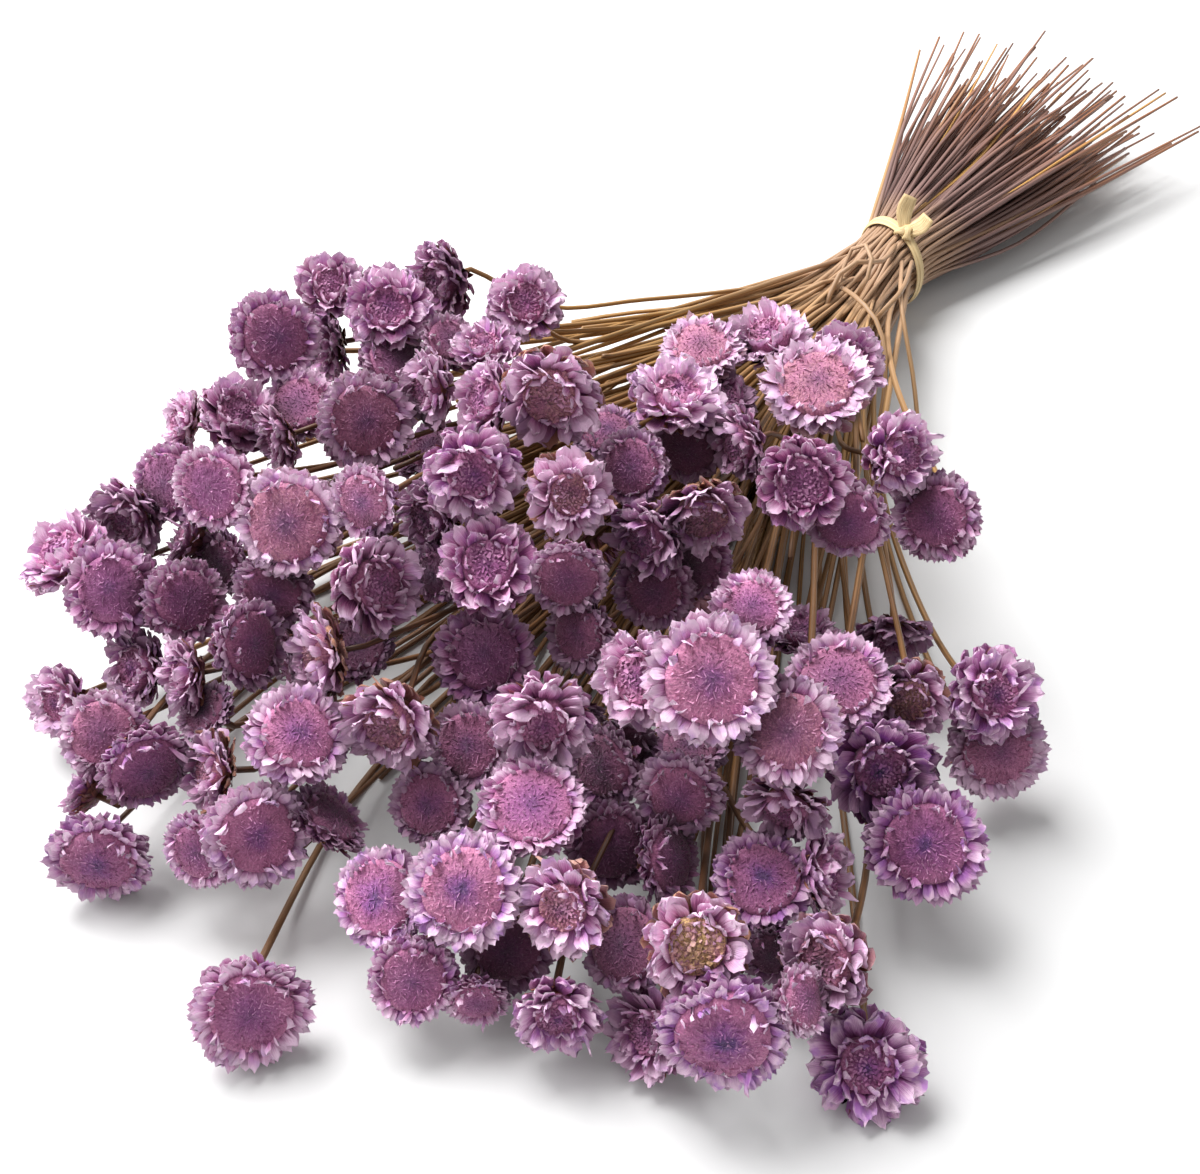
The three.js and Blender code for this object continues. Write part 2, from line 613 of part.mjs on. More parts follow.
// Lets all stems give way together: to the heads, to each other and to the surface.
function relaxedPaths(poses, slots) {
  const natural = poses.map((pose, i) => naturalPath(pose, slots[i]));
  const paths = natural.map((path) => path.map((p) => p.clone()));
  for (let round = 0; round < RELAX_ROUNDS; round += 1) {
    paths.forEach((points, s) => {
      const rest = natural[s];
      for (let i = 2; i < points.length - 2; i += 1) {
        const bend = rest[i - 1].clone().add(rest[i + 1]).multiplyScalar(0.5).sub(rest[i]);
        const middle = points[i - 1].clone().add(points[i + 1]).multiplyScalar(0.5).sub(bend);
        points[i].lerp(middle, RELAX_SHARE);
        poses.forEach((other, o) => {
          if (o === s || other.middle.distanceTo(points[i]) > other.radius + HEAD_CLEAR) return;
          keepOut(points[i], other);
        });
        points[i].z = Math.max(points[i].z, STEM_FLOOR);
      }
    });
    if (round % 2 === 0) partStems(paths);
  }
  return paths;
}

function tailEnd(slot, i) {
  const share = TAIL.shortest + (1 - TAIL.shortest) * scatter(i, 2) ** TAIL.fewLong;
  const length = TAIL_LENGTH * share;
  const spread = share * (1 + TAIL.uneven * (scatter(i, 1) - 0.5));
  const aside = TAIL_SKEW * share + TAIL.stray * (scatter(i, 3) - 0.5);
  const x = slot.x / SLOT_REACH * TAIL_HALF_WIDTH * spread + aside;
  const z = STEM_FLOOR + (1 + slot.z / SLOT_REACH) * TAIL_HALF_HEIGHT * spread;
  return new THREE.Vector3(WAIST.x + x, WAIST.y + length, z);
}

function tailPath(slot, i) {
  const start = WAIST.clone().add(new THREE.Vector3(slot.x, TAIL.rootedAt, slot.z));
  const end = tailEnd(slot, i);
  const middle = start.clone().lerp(end, 0.5);
  middle.x -= TAIL.bow * (end.x - start.x);
  return [start, middle, end];
}

function tubeSolid(points, steps, radius) {
  const outline = new THREE.Shape();
  for (let i = 0; i < STEM_SIDES; i += 1) {
    const angle = (i / STEM_SIDES) * 2 * Math.PI;
    const [x, y] = [radius * Math.cos(angle), radius * Math.sin(angle)];
    if (i === 0) outline.moveTo(x, y);
    else outline.lineTo(x, y);
  }
  outline.closePath();
  const path = new THREE.CatmullRomCurve3(points);
  path.arcLengthDivisions = 400;
  return solidOf(new THREE.ExtrudeGeometry(outline, { steps, extrudePath: path, curveSegments: 1 }));
}

// The packed middle of the bunch, ribbed by the stems that lie side by side round it.
function waistCore() {
  const ribbed = (height) => ring(2 * WAIST_RIBS,
    (i) => WAIST_RADIUS + (i % 2 ? WAIST_RIB : -WAIST_RIB), () => height, 0);
  const geometry = ringedGeometry(new THREE.Vector3(0, 0, -WAIST_CORE),
    [ribbed(-WAIST_CORE), ribbed(WAIST_CORE)], new THREE.Vector3(0, 0, WAIST_CORE));
  geometry.rotateX(-Math.PI / 2);
  geometry.translate(WAIST.x, WAIST.y, WAIST.z);
  return solidOf(geometry);
}

// A stem gets as few stretches as keep it clear of all heads. Where none of them does, the
// heads in its way get a groove for it.
function clearTube(points, groups) {
  const hitBy = (tube) => groups.filter((one) => tube.intersect(one.solid).volume() > HIT_LEAST);
  let tube = null;
  for (const steps of STEM_STEPS) {
    tube = tubeSolid(points, steps, STEM_RADIUS);
    if (hitBy(tubeSolid(points, steps, STEM_RADIUS + SPARE)).length === 0) return tube;
  }
  tube = tubeSolid(points, GROOVED_STEPS, STEM_RADIUS);
  const wide = tubeSolid(points, GROOVED_STEPS, STEM_RADIUS + CHANNEL);
  hitBy(wide).forEach((one) => {
    one.solid = largestBody(one.solid.subtract(wide));
  });
  return tube;
}

// A hollow that joining has sealed is filled, and a loose scrap dropped.
function largestBody(solid) {
  const bodies = solid.decompose();
  return bodies.reduce((best, body) => (body.volume() > best.volume() ? body : best));
}

function stemSolid(poses, groups) {
  const slots = waistSlots(poses);
  const paths = relaxedPaths(poses, slots);
  let stems = waistCore();
  paths.forEach((points) => { stems = stems.add(clearTube(points, groups)); });
  slots.forEach((slot, i) => {
    const inner = Math.hypot(slot.x, slot.z) < INNER_SLOT * SLOT_REACH;
    stems = stems.add(tubeSolid(tailPath(slot, i), inner ? 1 : 2, STEM_RADIUS));
  });
  return largestBody(stems);
}

// The tie
// One flat strip of straw goes round the waist twice, on a slant, and is knotted on top, where its
// two cut ends stand up. It is pressed flat underneath, where the bunch rests on it.
const STRAP_SIDES = 16;
const STRAP_EDGE = 0.7;
const STRAP_GROOVE = 0.25;
const KNOT_ANGLE = THREE.MathUtils.degToRad(72);
const TIE_SLANT = 0.45;
const KNOT_SIZE = [2.9, 2.4, 1.9];
const KNOT_RISE = 0.4;
const CUTTER = 60;
const STUBS = [
  { lean: -17, turn: -36, length: 8, width: 4.4 },
  { lean: 43, turn: -22, length: 6.4, width: 4.6 },
];
const STUB_THICK = 1;
const STUB_ROOT = 1.5;

function strapRing() {
  const inner = STRAP_INNER;
  const outer = STRAP_INNER + STRAP_THICK;
  const half = STRAP_WIDTH / 2;
  const profile = [[inner, -half], [outer, -half * STRAP_EDGE], [outer - STRAP_GROOVE, 0],
    [outer, half * STRAP_EDGE], [inner, half], [inner, -half]];
  const geometry = new THREE.LatheGeometry(profile.map(([x, y]) => new THREE.Vector2(x, y)), STRAP_SIDES);
  geometry.applyMatrix4(new THREE.Matrix4().makeShear(-TIE_SLANT, 0, 0, 0, 0, 0));
  return solidOf(geometry);
}

function ballSolid(size) {
  const geometry = new THREE.SphereGeometry(1, 7, 5);
  geometry.scale(...size);
  return solidOf(geometry);
}

// A cut end of the strip: narrow where it leaves the knot, widest near its ragged end.
function stubSolid(stub) {
  const half = stub.width / 2;
  const outline = new THREE.Shape([
    new THREE.Vector2(-half * 0.5, -STUB_ROOT), new THREE.Vector2(half * 0.5, -STUB_ROOT),
    new THREE.Vector2(half, stub.length * 0.7), new THREE.Vector2(half * 0.8, stub.length),
    new THREE.Vector2(-half * 0.9, stub.length * 0.94), new THREE.Vector2(-half, stub.length * 0.6),
  ]);
  const geometry = new THREE.ExtrudeGeometry(outline, { depth: STUB_THICK, bevelEnabled: false });
  geometry.translate(0, 0, -STUB_THICK / 2);
  geometry.rotateX(Math.PI / 2);
  geometry.rotateY(THREE.MathUtils.degToRad(stub.lean));
  geometry.rotateX(THREE.MathUtils.degToRad(stub.turn));
  return solidOf(geometry);
}

function tieSolid() {
  const knotRadius = STRAP_INNER + STRAP_THICK + KNOT_RISE;
  const knotX = knotRadius * Math.cos(KNOT_ANGLE);
  const knotAt = [knotX, -TIE_SLANT * knotX, knotRadius * Math.sin(KNOT_ANGLE)];
  let knot = ballSolid(KNOT_SIZE);
  STUBS.forEach((stub) => { knot = knot.add(stubSolid(stub)); });
  const clear = solidOf(new THREE.CylinderGeometry(STRAP_INNER, STRAP_INNER, CUTTER, STRAP_SIDES));
  const tie = strapRing().add(knot.translate(knotAt).subtract(clear)).translate(WAIST.toArray());
  const under = new THREE.BoxGeometry(CUTTER, CUTTER, CUTTER);
  under.translate(WAIST.x, WAIST.y, -CUTTER / 2);
  return largestBody(tie.subtract(solidOf(under)));
}

// The whole bunch, with its origin under the middle of its box
const COLORS = { heads: 0xa678a8, stems: 0x9a7448, tie: 0xd8c08a };
const groups = placeHeads();
const stems = stemSolid(groups.flatMap((one) => one.poses), groups);
const pieces = groups.map((one, i) => ({
  name: `heads_${String(i + 1).padStart(2, '0')}`,
  geometry: geometryOf(one.solid),
  color: COLORS.heads,
}));
pieces.push({ name: 'stems', geometry: geometryOf(stems), color: COLORS.stems });
pieces.push({ name: 'tie', geometry: geometryOf(tieSolid()), color: COLORS.tie });

const box = new THREE.Box3();
pieces.forEach(({ geometry }) => {
  geometry.computeBoundingBox();
  box.union(geometry.boundingBox);
});
const middle = box.getCenter(new THREE.Vector3());

const bunch = new THREE.Group();
pieces.forEach(({ name, geometry, color }) => {
  geometry.translate(-middle.x, -middle.y, -box.min.z);
  geometry.computeVertexNormals();
  const material = new THREE.MeshStandardMaterial({ color, roughness: 0.85, metalness: 0 });
  const mesh = new THREE.Mesh(geometry, material);
  mesh.name = name;
  bunch.add(mesh);
});

export default bunch;
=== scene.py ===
"""A tied bunch of dyed, dried star flowers lying on a pale floor.

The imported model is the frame. Every head, stem and the tie is read back from it, and a finer
piece is set in its place: papery bracts round a granular disc, ribbed stems and split straw.
"""

import json
import math
import random
from types import SimpleNamespace
from typing import NamedTuple

import bmesh
import bpy
import numpy as np
from mathutils import Matrix, Vector, noise
from mathutils.geometry import interpolate_bezier


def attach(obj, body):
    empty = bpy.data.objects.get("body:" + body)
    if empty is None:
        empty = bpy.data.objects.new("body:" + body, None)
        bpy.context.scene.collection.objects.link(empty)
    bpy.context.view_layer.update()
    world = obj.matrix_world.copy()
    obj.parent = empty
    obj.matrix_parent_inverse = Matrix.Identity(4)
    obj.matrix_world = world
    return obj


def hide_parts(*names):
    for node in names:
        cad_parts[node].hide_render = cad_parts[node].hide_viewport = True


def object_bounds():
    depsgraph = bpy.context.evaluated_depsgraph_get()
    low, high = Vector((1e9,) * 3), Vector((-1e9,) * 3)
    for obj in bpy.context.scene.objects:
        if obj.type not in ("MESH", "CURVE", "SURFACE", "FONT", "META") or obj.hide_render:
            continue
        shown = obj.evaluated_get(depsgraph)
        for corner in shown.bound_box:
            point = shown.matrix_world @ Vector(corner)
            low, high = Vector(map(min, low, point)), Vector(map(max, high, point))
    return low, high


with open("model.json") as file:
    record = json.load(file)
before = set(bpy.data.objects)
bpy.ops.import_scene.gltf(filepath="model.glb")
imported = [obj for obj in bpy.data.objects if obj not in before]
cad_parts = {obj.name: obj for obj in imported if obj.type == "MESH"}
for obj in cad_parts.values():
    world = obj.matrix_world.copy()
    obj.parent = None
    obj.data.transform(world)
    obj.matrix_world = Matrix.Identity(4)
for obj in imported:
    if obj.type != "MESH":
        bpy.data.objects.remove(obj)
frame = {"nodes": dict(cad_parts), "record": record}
CAD_BOX = [list(corner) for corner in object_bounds()]

MM = 0.001
UP = Vector((0, 0, 1))


def linked(name, data):
    thing = bpy.data.objects.new(name, data)
    bpy.context.scene.collection.objects.link(thing)
    return thing


def round_waist(angle):
    """The way out from the waist at an angle."""
    return Vector((math.cos(angle), 0, math.sin(angle)))


# The photograph's frame and the eye it was taken from
FRAME_WIDE, FRAME_HIGH = 1200, 1174
FOCAL = 1440
PITCH = math.radians(45)
TURN = math.radians(35)
EYE_HEIGHT = 221 * MM
WAIST_PIXEL = (890, 262)

# The waist, where the tie holds the stems
WAIST_HEIGHT = 11.45 * MM
STEM_RADIUS = 0.62 * MM

# The solids' own measures, as shares of a head's radius
FORMS = {
    "flat": {"disc": 0.66, "edge": 0.10, "crown": 0.18, "calyx": 0.44, "calyx_drop": 0.30, "drop": 0.46},
    "cup": {"disc": 0.46, "edge": 0.08, "crown": 0.10, "calyx": 0.46, "calyx_drop": 0.34, "drop": 0.52},
}
NECK_GAP = 0.3 * MM


# The camera
def turned(x, y, z):
    return Matrix.Rotation(TURN, 3, "Z") @ Vector((x, y, z))


RIGHT = turned(1, 0, 0)
FORWARD = turned(0, math.cos(PITCH), -math.sin(PITCH))
DOWN = turned(0, -math.sin(PITCH), -math.cos(PITCH))


def sight_line(u, v):
    """The sight line of a pixel, one unit deep along the view."""
    return FORWARD + RIGHT * ((u - FRAME_WIDE / 2) / FOCAL) + DOWN * ((v - FRAME_HIGH / 2) / FOCAL)


# The middle of the waist is over the flat spot that the tie rests on
REST = next(mount for mount in frame["record"]["mounts"] if mount["name"] == "rest")
WAIST = Vector(REST["pos_m"]) + UP * WAIST_HEIGHT
WAIST_LINE = sight_line(*WAIST_PIXEL)
EYE = WAIST - WAIST_LINE * ((EYE_HEIGHT - WAIST_HEIGHT) / -WAIST_LINE.z)


def place_at(u, v, height):
    """The place that a pixel shows at a height over the surface."""
    line = sight_line(u, v)
    return EYE + line * ((EYE.z - height) / -line.z)


def pixel_of(point):
    out = point - EYE
    depth = out.dot(FORWARD)
    u = FRAME_WIDE / 2 + FOCAL * out.dot(RIGHT) / depth
    v = FRAME_HIGH / 2 + FOCAL * out.dot(DOWN) / depth
    return u, v


def add_camera():
    data = bpy.data.cameras.new("camera")
    data.sensor_width = 36
    data.lens = data.sensor_width * FOCAL / FRAME_WIDE
    data.clip_start = 0.01
    camera = linked("camera", data)
    camera.location = EYE
    camera.rotation_euler = FORWARD.to_track_quat("-Z", "Y").to_euler()
    bpy.context.scene.camera = camera


# Reading the frame
def merged(node):
    """A copy of a node's mesh with its loose triangles joined up."""
    bm = bmesh.new()
    bm.from_mesh(frame["nodes"][node].data)
    bmesh.ops.remove_doubles(bm, verts=bm.verts, dist=1e-6)
    return bm


# The pole of a disc or a calyx is the tip of a regular pyramid. At least seven edges meet at a
# disc's pole, five of them whole, and at least four at a calyx's. The rest are shares of lengths.
DISC_SPOKES = 7
LEAST_SPOKES = {True: 5, False: 4}
SPOKE_SLACK = 0.004
SLOPE_SLACK = 0.012
ROUND_ENOUGH = 0.3
APART = 0.3


def pyramid(tip, least):
    """The round foot of a regular pyramid: its middle, its radius and the way up to the tip."""
    spokes = [edge.other_vert(tip).co - tip.co for edge in tip.link_edges]
    longest = max(spoke.length for spoke in spokes)
    foot = np.array([s for s in spokes if s.length > (1 - SPOKE_SLACK) * longest])
    if len(foot) < least:
        return None
    off = foot - foot.mean(0)
    _, spread, ways = np.linalg.svd(off)
    if spread[2] > SPOKE_SLACK * spread[0] or spread[1] < ROUND_ENOUGH * spread[0]:
        return None
    rise = ways[2] * (foot @ ways[2]).mean()
    middle = Vector(rise)
    radius = float(np.linalg.norm(foot - rise, axis=1).mean())
    return tip.co + middle, radius, -middle


def head_at(tip):
    """The head that a pole belongs to, or None: the disc's pole is on top, the calyx's below."""
    spokes = len(tip.link_edges)
    top = spokes >= DISC_SPOKES
    found = pyramid(tip, LEAST_SPOKES[top]) if spokes >= LEAST_SPOKES[top] else None
    if not found:
        return None
    middle, radius, rise = found
    slope = rise.length / radius
    for form, shape in FORMS.items():
        wide, high, low = ("disc", "crown", "edge") if top else ("calyx", "drop", "calyx_drop")
        if abs(slope - (shape[high] - shape[low]) / shape[wide]) > SLOPE_SLACK:
            continue
        size = radius / shape[wide]
        face = rise.normalized() if top else -rise.normalized()
        middle -= face * size * (shape[low] if top else -shape[low])
        return SimpleNamespace(middle=middle, face=face, radius=size, form=form, top=top)
    return None


def read_heads(node):
    """The heads in a node, from the poles of their discs or else from their calyx."""
    bm = merged(node)
    found = [head for head in map(head_at, bm.verts) if head]
    bm.free()
    found.sort(key=lambda head: not head.top)
    heads = []
    for head in found:
        if all((head.middle - other.middle).length > APART * head.radius for other in heads):
            heads.append(head)
    return heads


# The solids' stems are three-sided tubes, known by the size of their caps
TUBE_RADIUS = 0.72 * MM
CAP_EDGE = TUBE_RADIUS * math.sqrt(3)
CAP_SLACK = 0.04


def trace_tube(cap):
    """The middles of a three-sided tube's rings, from its free end as far as it runs alone."""
    ring = set(cap.verts)
    seen = set(ring)
    middles = []
    while len(ring) == 3:
        middles.append(sum((v.co for v in ring), Vector()) / 3)
        ring = {e.other_vert(v) for v in ring for e in v.link_edges} - seen
        seen |= ring
    return middles


def read_stems():
    """The stems that run to the heads and the cut ends behind the waist."""
    bm = merged("stems")
    caps = [face for face in bm.faces
            if all(abs(e.calc_length() / CAP_EDGE - 1) < CAP_SLACK for e in face.edges)]
    tubes = [trace_tube(cap) for cap in caps]
    bm.free()
    fronts = [tube for tube in tubes if tube[0].y < WAIST.y]
    tails = [tube for tube in tubes if tube[0].y > WAIST.y]
    return fronts, tails


# Making meshes
TIP_ROWS = 1.5


def only(kind, parts):
    return [part for part in parts if isinstance(part, kind)]


def mesh_from(bm, name):
    mesh = bpy.data.meshes.new(name)
    bm.to_mesh(mesh)
    bm.free()
    return mesh


def lens(columns, rows):
    """A closed leaf, one unit wide and long and one thick: two grids that share a sharp rim, with
    their rows closer together towards the tip."""
    bm = bmesh.new()
    bmesh.ops.create_grid(bm, x_segments=columns, y_segments=rows, size=0.5)
    bmesh.ops.translate(bm, verts=bm.verts, vec=(0, 0.5, 0))
    over = bm.faces[:]
    twin = bmesh.ops.duplicate(bm, geom=over)
    under = only(bmesh.types.BMFace, twin["geom"])
    bmesh.ops.reverse_faces(bm, faces=under)
    for faces, side in ((over, 0.5), (under, -0.5)):
        inner = {v for face in faces for v in face.verts if not v.is_boundary}
        bmesh.ops.translate(bm, verts=list(inner), vec=(0, 0, side))
    bmesh.ops.remove_doubles(bm, verts=bm.verts, dist=1e-4)
    for vert in bm.verts:
        vert.co.y = 1 - max(0, 1 - vert.co.y) ** TIP_ROWS
    for edge in bm.edges:
        edge.smooth = any(abs(vert.co.z) > 0.1 for vert in edge.verts)
    for face in bm.faces:
        face.smooth = True
    return mesh_from(bm, f"lens_{columns}_{rows}")


LENSES = {"fine": lens(4, 4), "plain": lens(3, 4), "slim": lens(2, 4), "small": lens(2, 3)}

# Faces of a head take one of three finishes
DISC, BRACT, CALYX = 0, 1, 2


class Ring(NamedTuple):
    """A ring of bracts in shares of a head's radius. Each runs from its base over its bend to its
    tip, given as (out from the axis, up from the widest ring). Loose is how far they stray."""
    count: int
    base: tuple
    bend: tuple
    tip: tuple
    wide: float
    leaf: str = "small"
    tone: float = 0.0
    loose: float = 1.0


RINGS = {
    "flat": [
        Ring(36, (0.56, -0.22), (0.86, -0.17), (1.00, -0.07), 0.20, "slim", 0.5, 1.2),
        Ring(42, (0.60, -0.12), (0.84, -0.03), (1.00, 0.03), 0.185, "slim", 0.9, 1.0),
        Ring(40, (0.63, -0.02), (0.76, 0.10), (0.94, 0.11), 0.18, "slim", 1.1, 1.0),
        Ring(34, (0.61, 0.04), (0.62, 0.11), (0.72, 0.17), 0.10, "small", 0.9, 2.4),
    ],
    "cup": [
        Ring(18, (0.50, -0.30), (0.86, -0.24), (1.00, -0.09), 0.35, "plain", 0.5, 1.4),
        Ring(18, (0.50, -0.20), (0.82, -0.08), (1.00, 0.08), 0.35, "fine", 1.0, 1.5),
        Ring(17, (0.48, -0.12), (0.70, 0.08), (0.90, 0.23), 0.32, "fine", 1.2, 1.6),
        Ring(14, (0.45, -0.05), (0.56, 0.19), (0.60, 0.34), 0.26, "fine", 1.1, 1.6),
        Ring(11, (0.41, 0.00), (0.46, 0.17), (0.36, 0.23), 0.17, "slim", 1.0, 1.8),
    ],
}
SCALES = {
    "flat": [
        Ring(10, (0.10, -0.46), (0.36, -0.44), (0.54, -0.28), 0.20),
        Ring(14, (0.34, -0.38), (0.56, -0.34), (0.74, -0.17), 0.20),
        Ring(17, (0.50, -0.26), (0.74, -0.24), (0.90, -0.06), 0.20),
    ],
    "cup": [
        Ring(10, (0.10, -0.52), (0.36, -0.50), (0.52, -0.34), 0.20),
        Ring(14, (0.34, -0.44), (0.56, -0.42), (0.74, -0.22), 0.20),
        Ring(17, (0.48, -0.32), (0.74, -0.32), (0.92, -0.10), 0.20),
    ],
}
BRACT_OUTLINE = ([0, 0.35, 0.65, 0.875, 1], [0.50, 0.82, 1.0, 0.90, 0.42])
SCALE_OUTLINE = ([0, 0.3, 0.7, 1], [0.8, 1.0, 0.62, 0.12])
BRACT_THICK = 0.014
SEEDS_IN_METRE = 7000
TEETH = {"flat": 0.06, "cup": 0.10}
TOOTH_REACH = (-1, 0.6)
TOOTH_FROM = 0.99
VARIANTS = 6

# How far one bract strays from its ring: along its line in shares of the radius, or of its width
CRUMPLE = 0.07
CRUMPLE_WAVES = (4, 3)
SHORTER = 0.13
NOD = 0.035
LEAN = 0.06
TWIST = 0.25
CHANNEL = 0.25
ROUNDED = 0.12
SPREAD = 0.28


def add_leaf(bm, ring, outline, angle, die, kind, teeth):
    """One bract or scale of a ring, bent along its line and turned to its place round the axis."""
    start = len(bm.verts)
    faces = len(bm.faces)
    bm.from_mesh(LENSES[ring.leaf])
    bm.verts.ensure_lookup_table()
    bm.faces.ensure_lookup_table()
    marks = bm.verts.layers.float_color["petal"]
    loose = ring.loose
    base, bend, tip = Vector(ring.base), Vector(ring.bend), Vector(ring.tip)
    tip = base + (tip - base) * (1 - SHORTER * loose * die.random() ** 2)
    nod = die.gauss(0, NOD) * loose
    bend.y += nod
    tip.y += 2 * nod
    twist = die.gauss(0, TWIST) * loose
    channel = die.uniform(0.0, CHANNEL)
    seed = Vector((die.uniform(0, 99), die.uniform(0, 99), 0))
    hue = die.random()
    lean = die.gauss(0, LEAN) * loose
    out = Vector((math.cos(angle), math.sin(angle), 0))
    aside = Vector((-math.sin(angle), math.cos(angle), 0))
    for vert in bm.verts[start:]:
        x, t, side = vert.co
        vert[marks] = (0.5 + x, t, hue, ring.tone)
        width = ring.wide * float(np.interp(t, *outline))
        end = t - ROUNDED * (2 * x) ** 2 * t * t
        end += teeth * die.uniform(*TOOTH_REACH) if t > TOOTH_FROM else 0
        line = base * (1 - end) ** 2 + bend * 2 * end * (1 - end) + tip * end * end
        slope = ((bend - base) * (1 - end) + (tip - bend) * end).normalized()
        over = Vector((-slope.y, slope.x))
        crease = seed + Vector((CRUMPLE_WAVES[0] * x, CRUMPLE_WAVES[1] * t, 0))
        crumple = CRUMPLE * loose * noise.noise(crease)
        lift = (channel * ((2 * x) ** 2 - 0.3) + twist * x) * width + crumple * t + side * BRACT_THICK
        place = line + over * lift
        vert.co = out * place.x + aside * (x * width + lean * t * t) + UP * place.y
    for face in bm.faces[faces:]:
        face.material_index = kind


def add_ring(bm, ring, outline, die, kind, teeth=0.0):
    first = die.uniform(0, math.tau)
    pitch = math.tau / ring.count
    for i in range(ring.count):
        angle = first + (i + SPREAD * ring.loose * die.uniform(-1, 1)) * pitch
        add_leaf(bm, ring, outline, angle, die, kind, teeth)


CORE_SIDES = 32
DISC_RINGS = 7
DISC_LIP = 0.02
GRAIN = 0.028
GRAIN_REACH = (0.1, 0.97)

# From this height up the finish is the disc's, so the wall under the bracts is purple too
DISC_FROM = -0.2


def dome_height(shape, share):
    """How high the disc stands at a share of its radius."""
    return shape["crown"] - (shape["crown"] - shape["edge"]) * share ** 2


def core_mesh(shape, die):
    """The closed body of a head: the calyx cup below, the granular disc above."""
    bm = bmesh.new()
    disc = shape["disc"] + DISC_LIP
    marks = bm.verts.layers.float_color.new("petal")
    profile = [(0, -shape["drop"]), (0.5 * shape["calyx"], 0.04 - shape["drop"]),
               (shape["calyx"], -shape["calyx_drop"]), (disc + 0.05, -0.14), (disc + 0.02, 0)]
    for i in range(DISC_RINGS + 1):
        share = 1 - i / DISC_RINGS
        profile.append((disc * share, dome_height(shape, share)))
    chain = [bm.verts.new((out, 0, up)) for out, up in profile]
    edges = [bm.edges.new(pair) for pair in zip(chain, chain[1:])]
    bmesh.ops.spin(bm, geom=chain + edges, cent=(0, 0, 0), axis=UP, angle=math.tau,
                   steps=CORE_SIDES, use_merge=True)
    bmesh.ops.remove_doubles(bm, verts=bm.verts, dist=1e-5)
    bmesh.ops.recalc_face_normals(bm, faces=bm.faces)
    for vert in bm.verts:
        share = vert.co.xy.length / disc
        on_disc = vert.co.z > 0.5 * shape["edge"]
        vert[marks] = (0.5 + 0.5 * vert.co.x / disc, 0.5 + 0.5 * vert.co.y / disc, die.random(), 0)
        if on_disc and GRAIN_REACH[0] < share < GRAIN_REACH[1]:
            vert.co.z += GRAIN * min(1, 2 * share) * die.uniform(-1, 1)
    for face in bm.faces:
        face.smooth = True
        face.material_index = DISC if min(v.co.z for v in face.verts) > DISC_FROM else CALYX
    return mesh_from(bm, "core")


# The florets of a disc: how many, how wide at the foot and at the top, and how tall
FLORETS = {
    "flat": {"count": 130, "foot": 0.020, "top": 0.007, "tall": 0.115},
    "cup": {"count": 78, "foot": 0.046, "top": 0.024, "tall": 0.105},
    "seedy": {"count": 48, "foot": 0.062, "top": 0.045, "tall": 0.075},
}
TANGLE = 0.8
FLORET_REACH = 0.96
FLORET_RISE = 0.01
FLORET_SIZES = (0.7, 1.2)
OUTWARD = 0.8
GOLDEN_TURN = math.pi * (3 - math.sqrt(5))
GOLDEN_SHARE = 0.618


def floret_mesh(shape, florets, die):
    """Small closed florets that stand out of the disc and lean outwards, set as in a sunflower."""
    bm = bmesh.new()
    marks = bm.verts.layers.float_color.new("petal")
    disc = shape["disc"]
    for i in range(florets["count"]):
        share = math.sqrt((i + 0.5) / florets["count"])
        angle = i * GOLDEN_TURN
        out = disc * FLORET_REACH * share
        x, y = out * math.cos(angle), out * math.sin(angle)
        up = dome_height(shape, share) + FLORET_RISE
        size = die.uniform(*FLORET_SIZES)
        lean = Matrix.Rotation(angle, 4, "Z") @ Matrix.Rotation(OUTWARD * share, 4, "Y")
        tangle = (Matrix.Rotation(die.gauss(0, TANGLE), 4, "X")
                  @ Matrix.Rotation(die.gauss(0, TANGLE), 4, "Y"))
        made = bmesh.ops.create_cone(
            bm, cap_ends=True, segments=3, radius1=florets["foot"] * size, radius2=florets["top"] * size,
            depth=florets["tall"] * size, matrix=Matrix.Translation((x, y, up)) @ lean @ tangle)
        for vert in made["verts"]:
            raised = 1 if vert.co.z > up else 0.3
            vert[marks] = (0.5 + 0.5 * x / disc, 0.5 + 0.5 * y / disc, (i * GOLDEN_SHARE) % 1, raised)
        for face in {face for vert in made["verts"] for face in vert.link_faces}:
            face.material_index = DISC
    return mesh_from(bm, "florets")


def make_head(form, seed, florets):
    """One of the heads that the bunch is made up of, one unit in radius."""
    die = random.Random(seed)
    bm = bmesh.new()
    bm.from_mesh(core_mesh(FORMS[form], die))
    bm.from_mesh(floret_mesh(FORMS[form], FLORETS[florets], die))
    for ring in SCALES[form]:
        add_ring(bm, ring, SCALE_OUTLINE, die, CALYX)
    for ring in RINGS[form]:
        add_ring(bm, ring, BRACT_OUTLINE, die, BRACT, TEETH[form])
    return mesh_from(bm, f"{form}_{seed}")


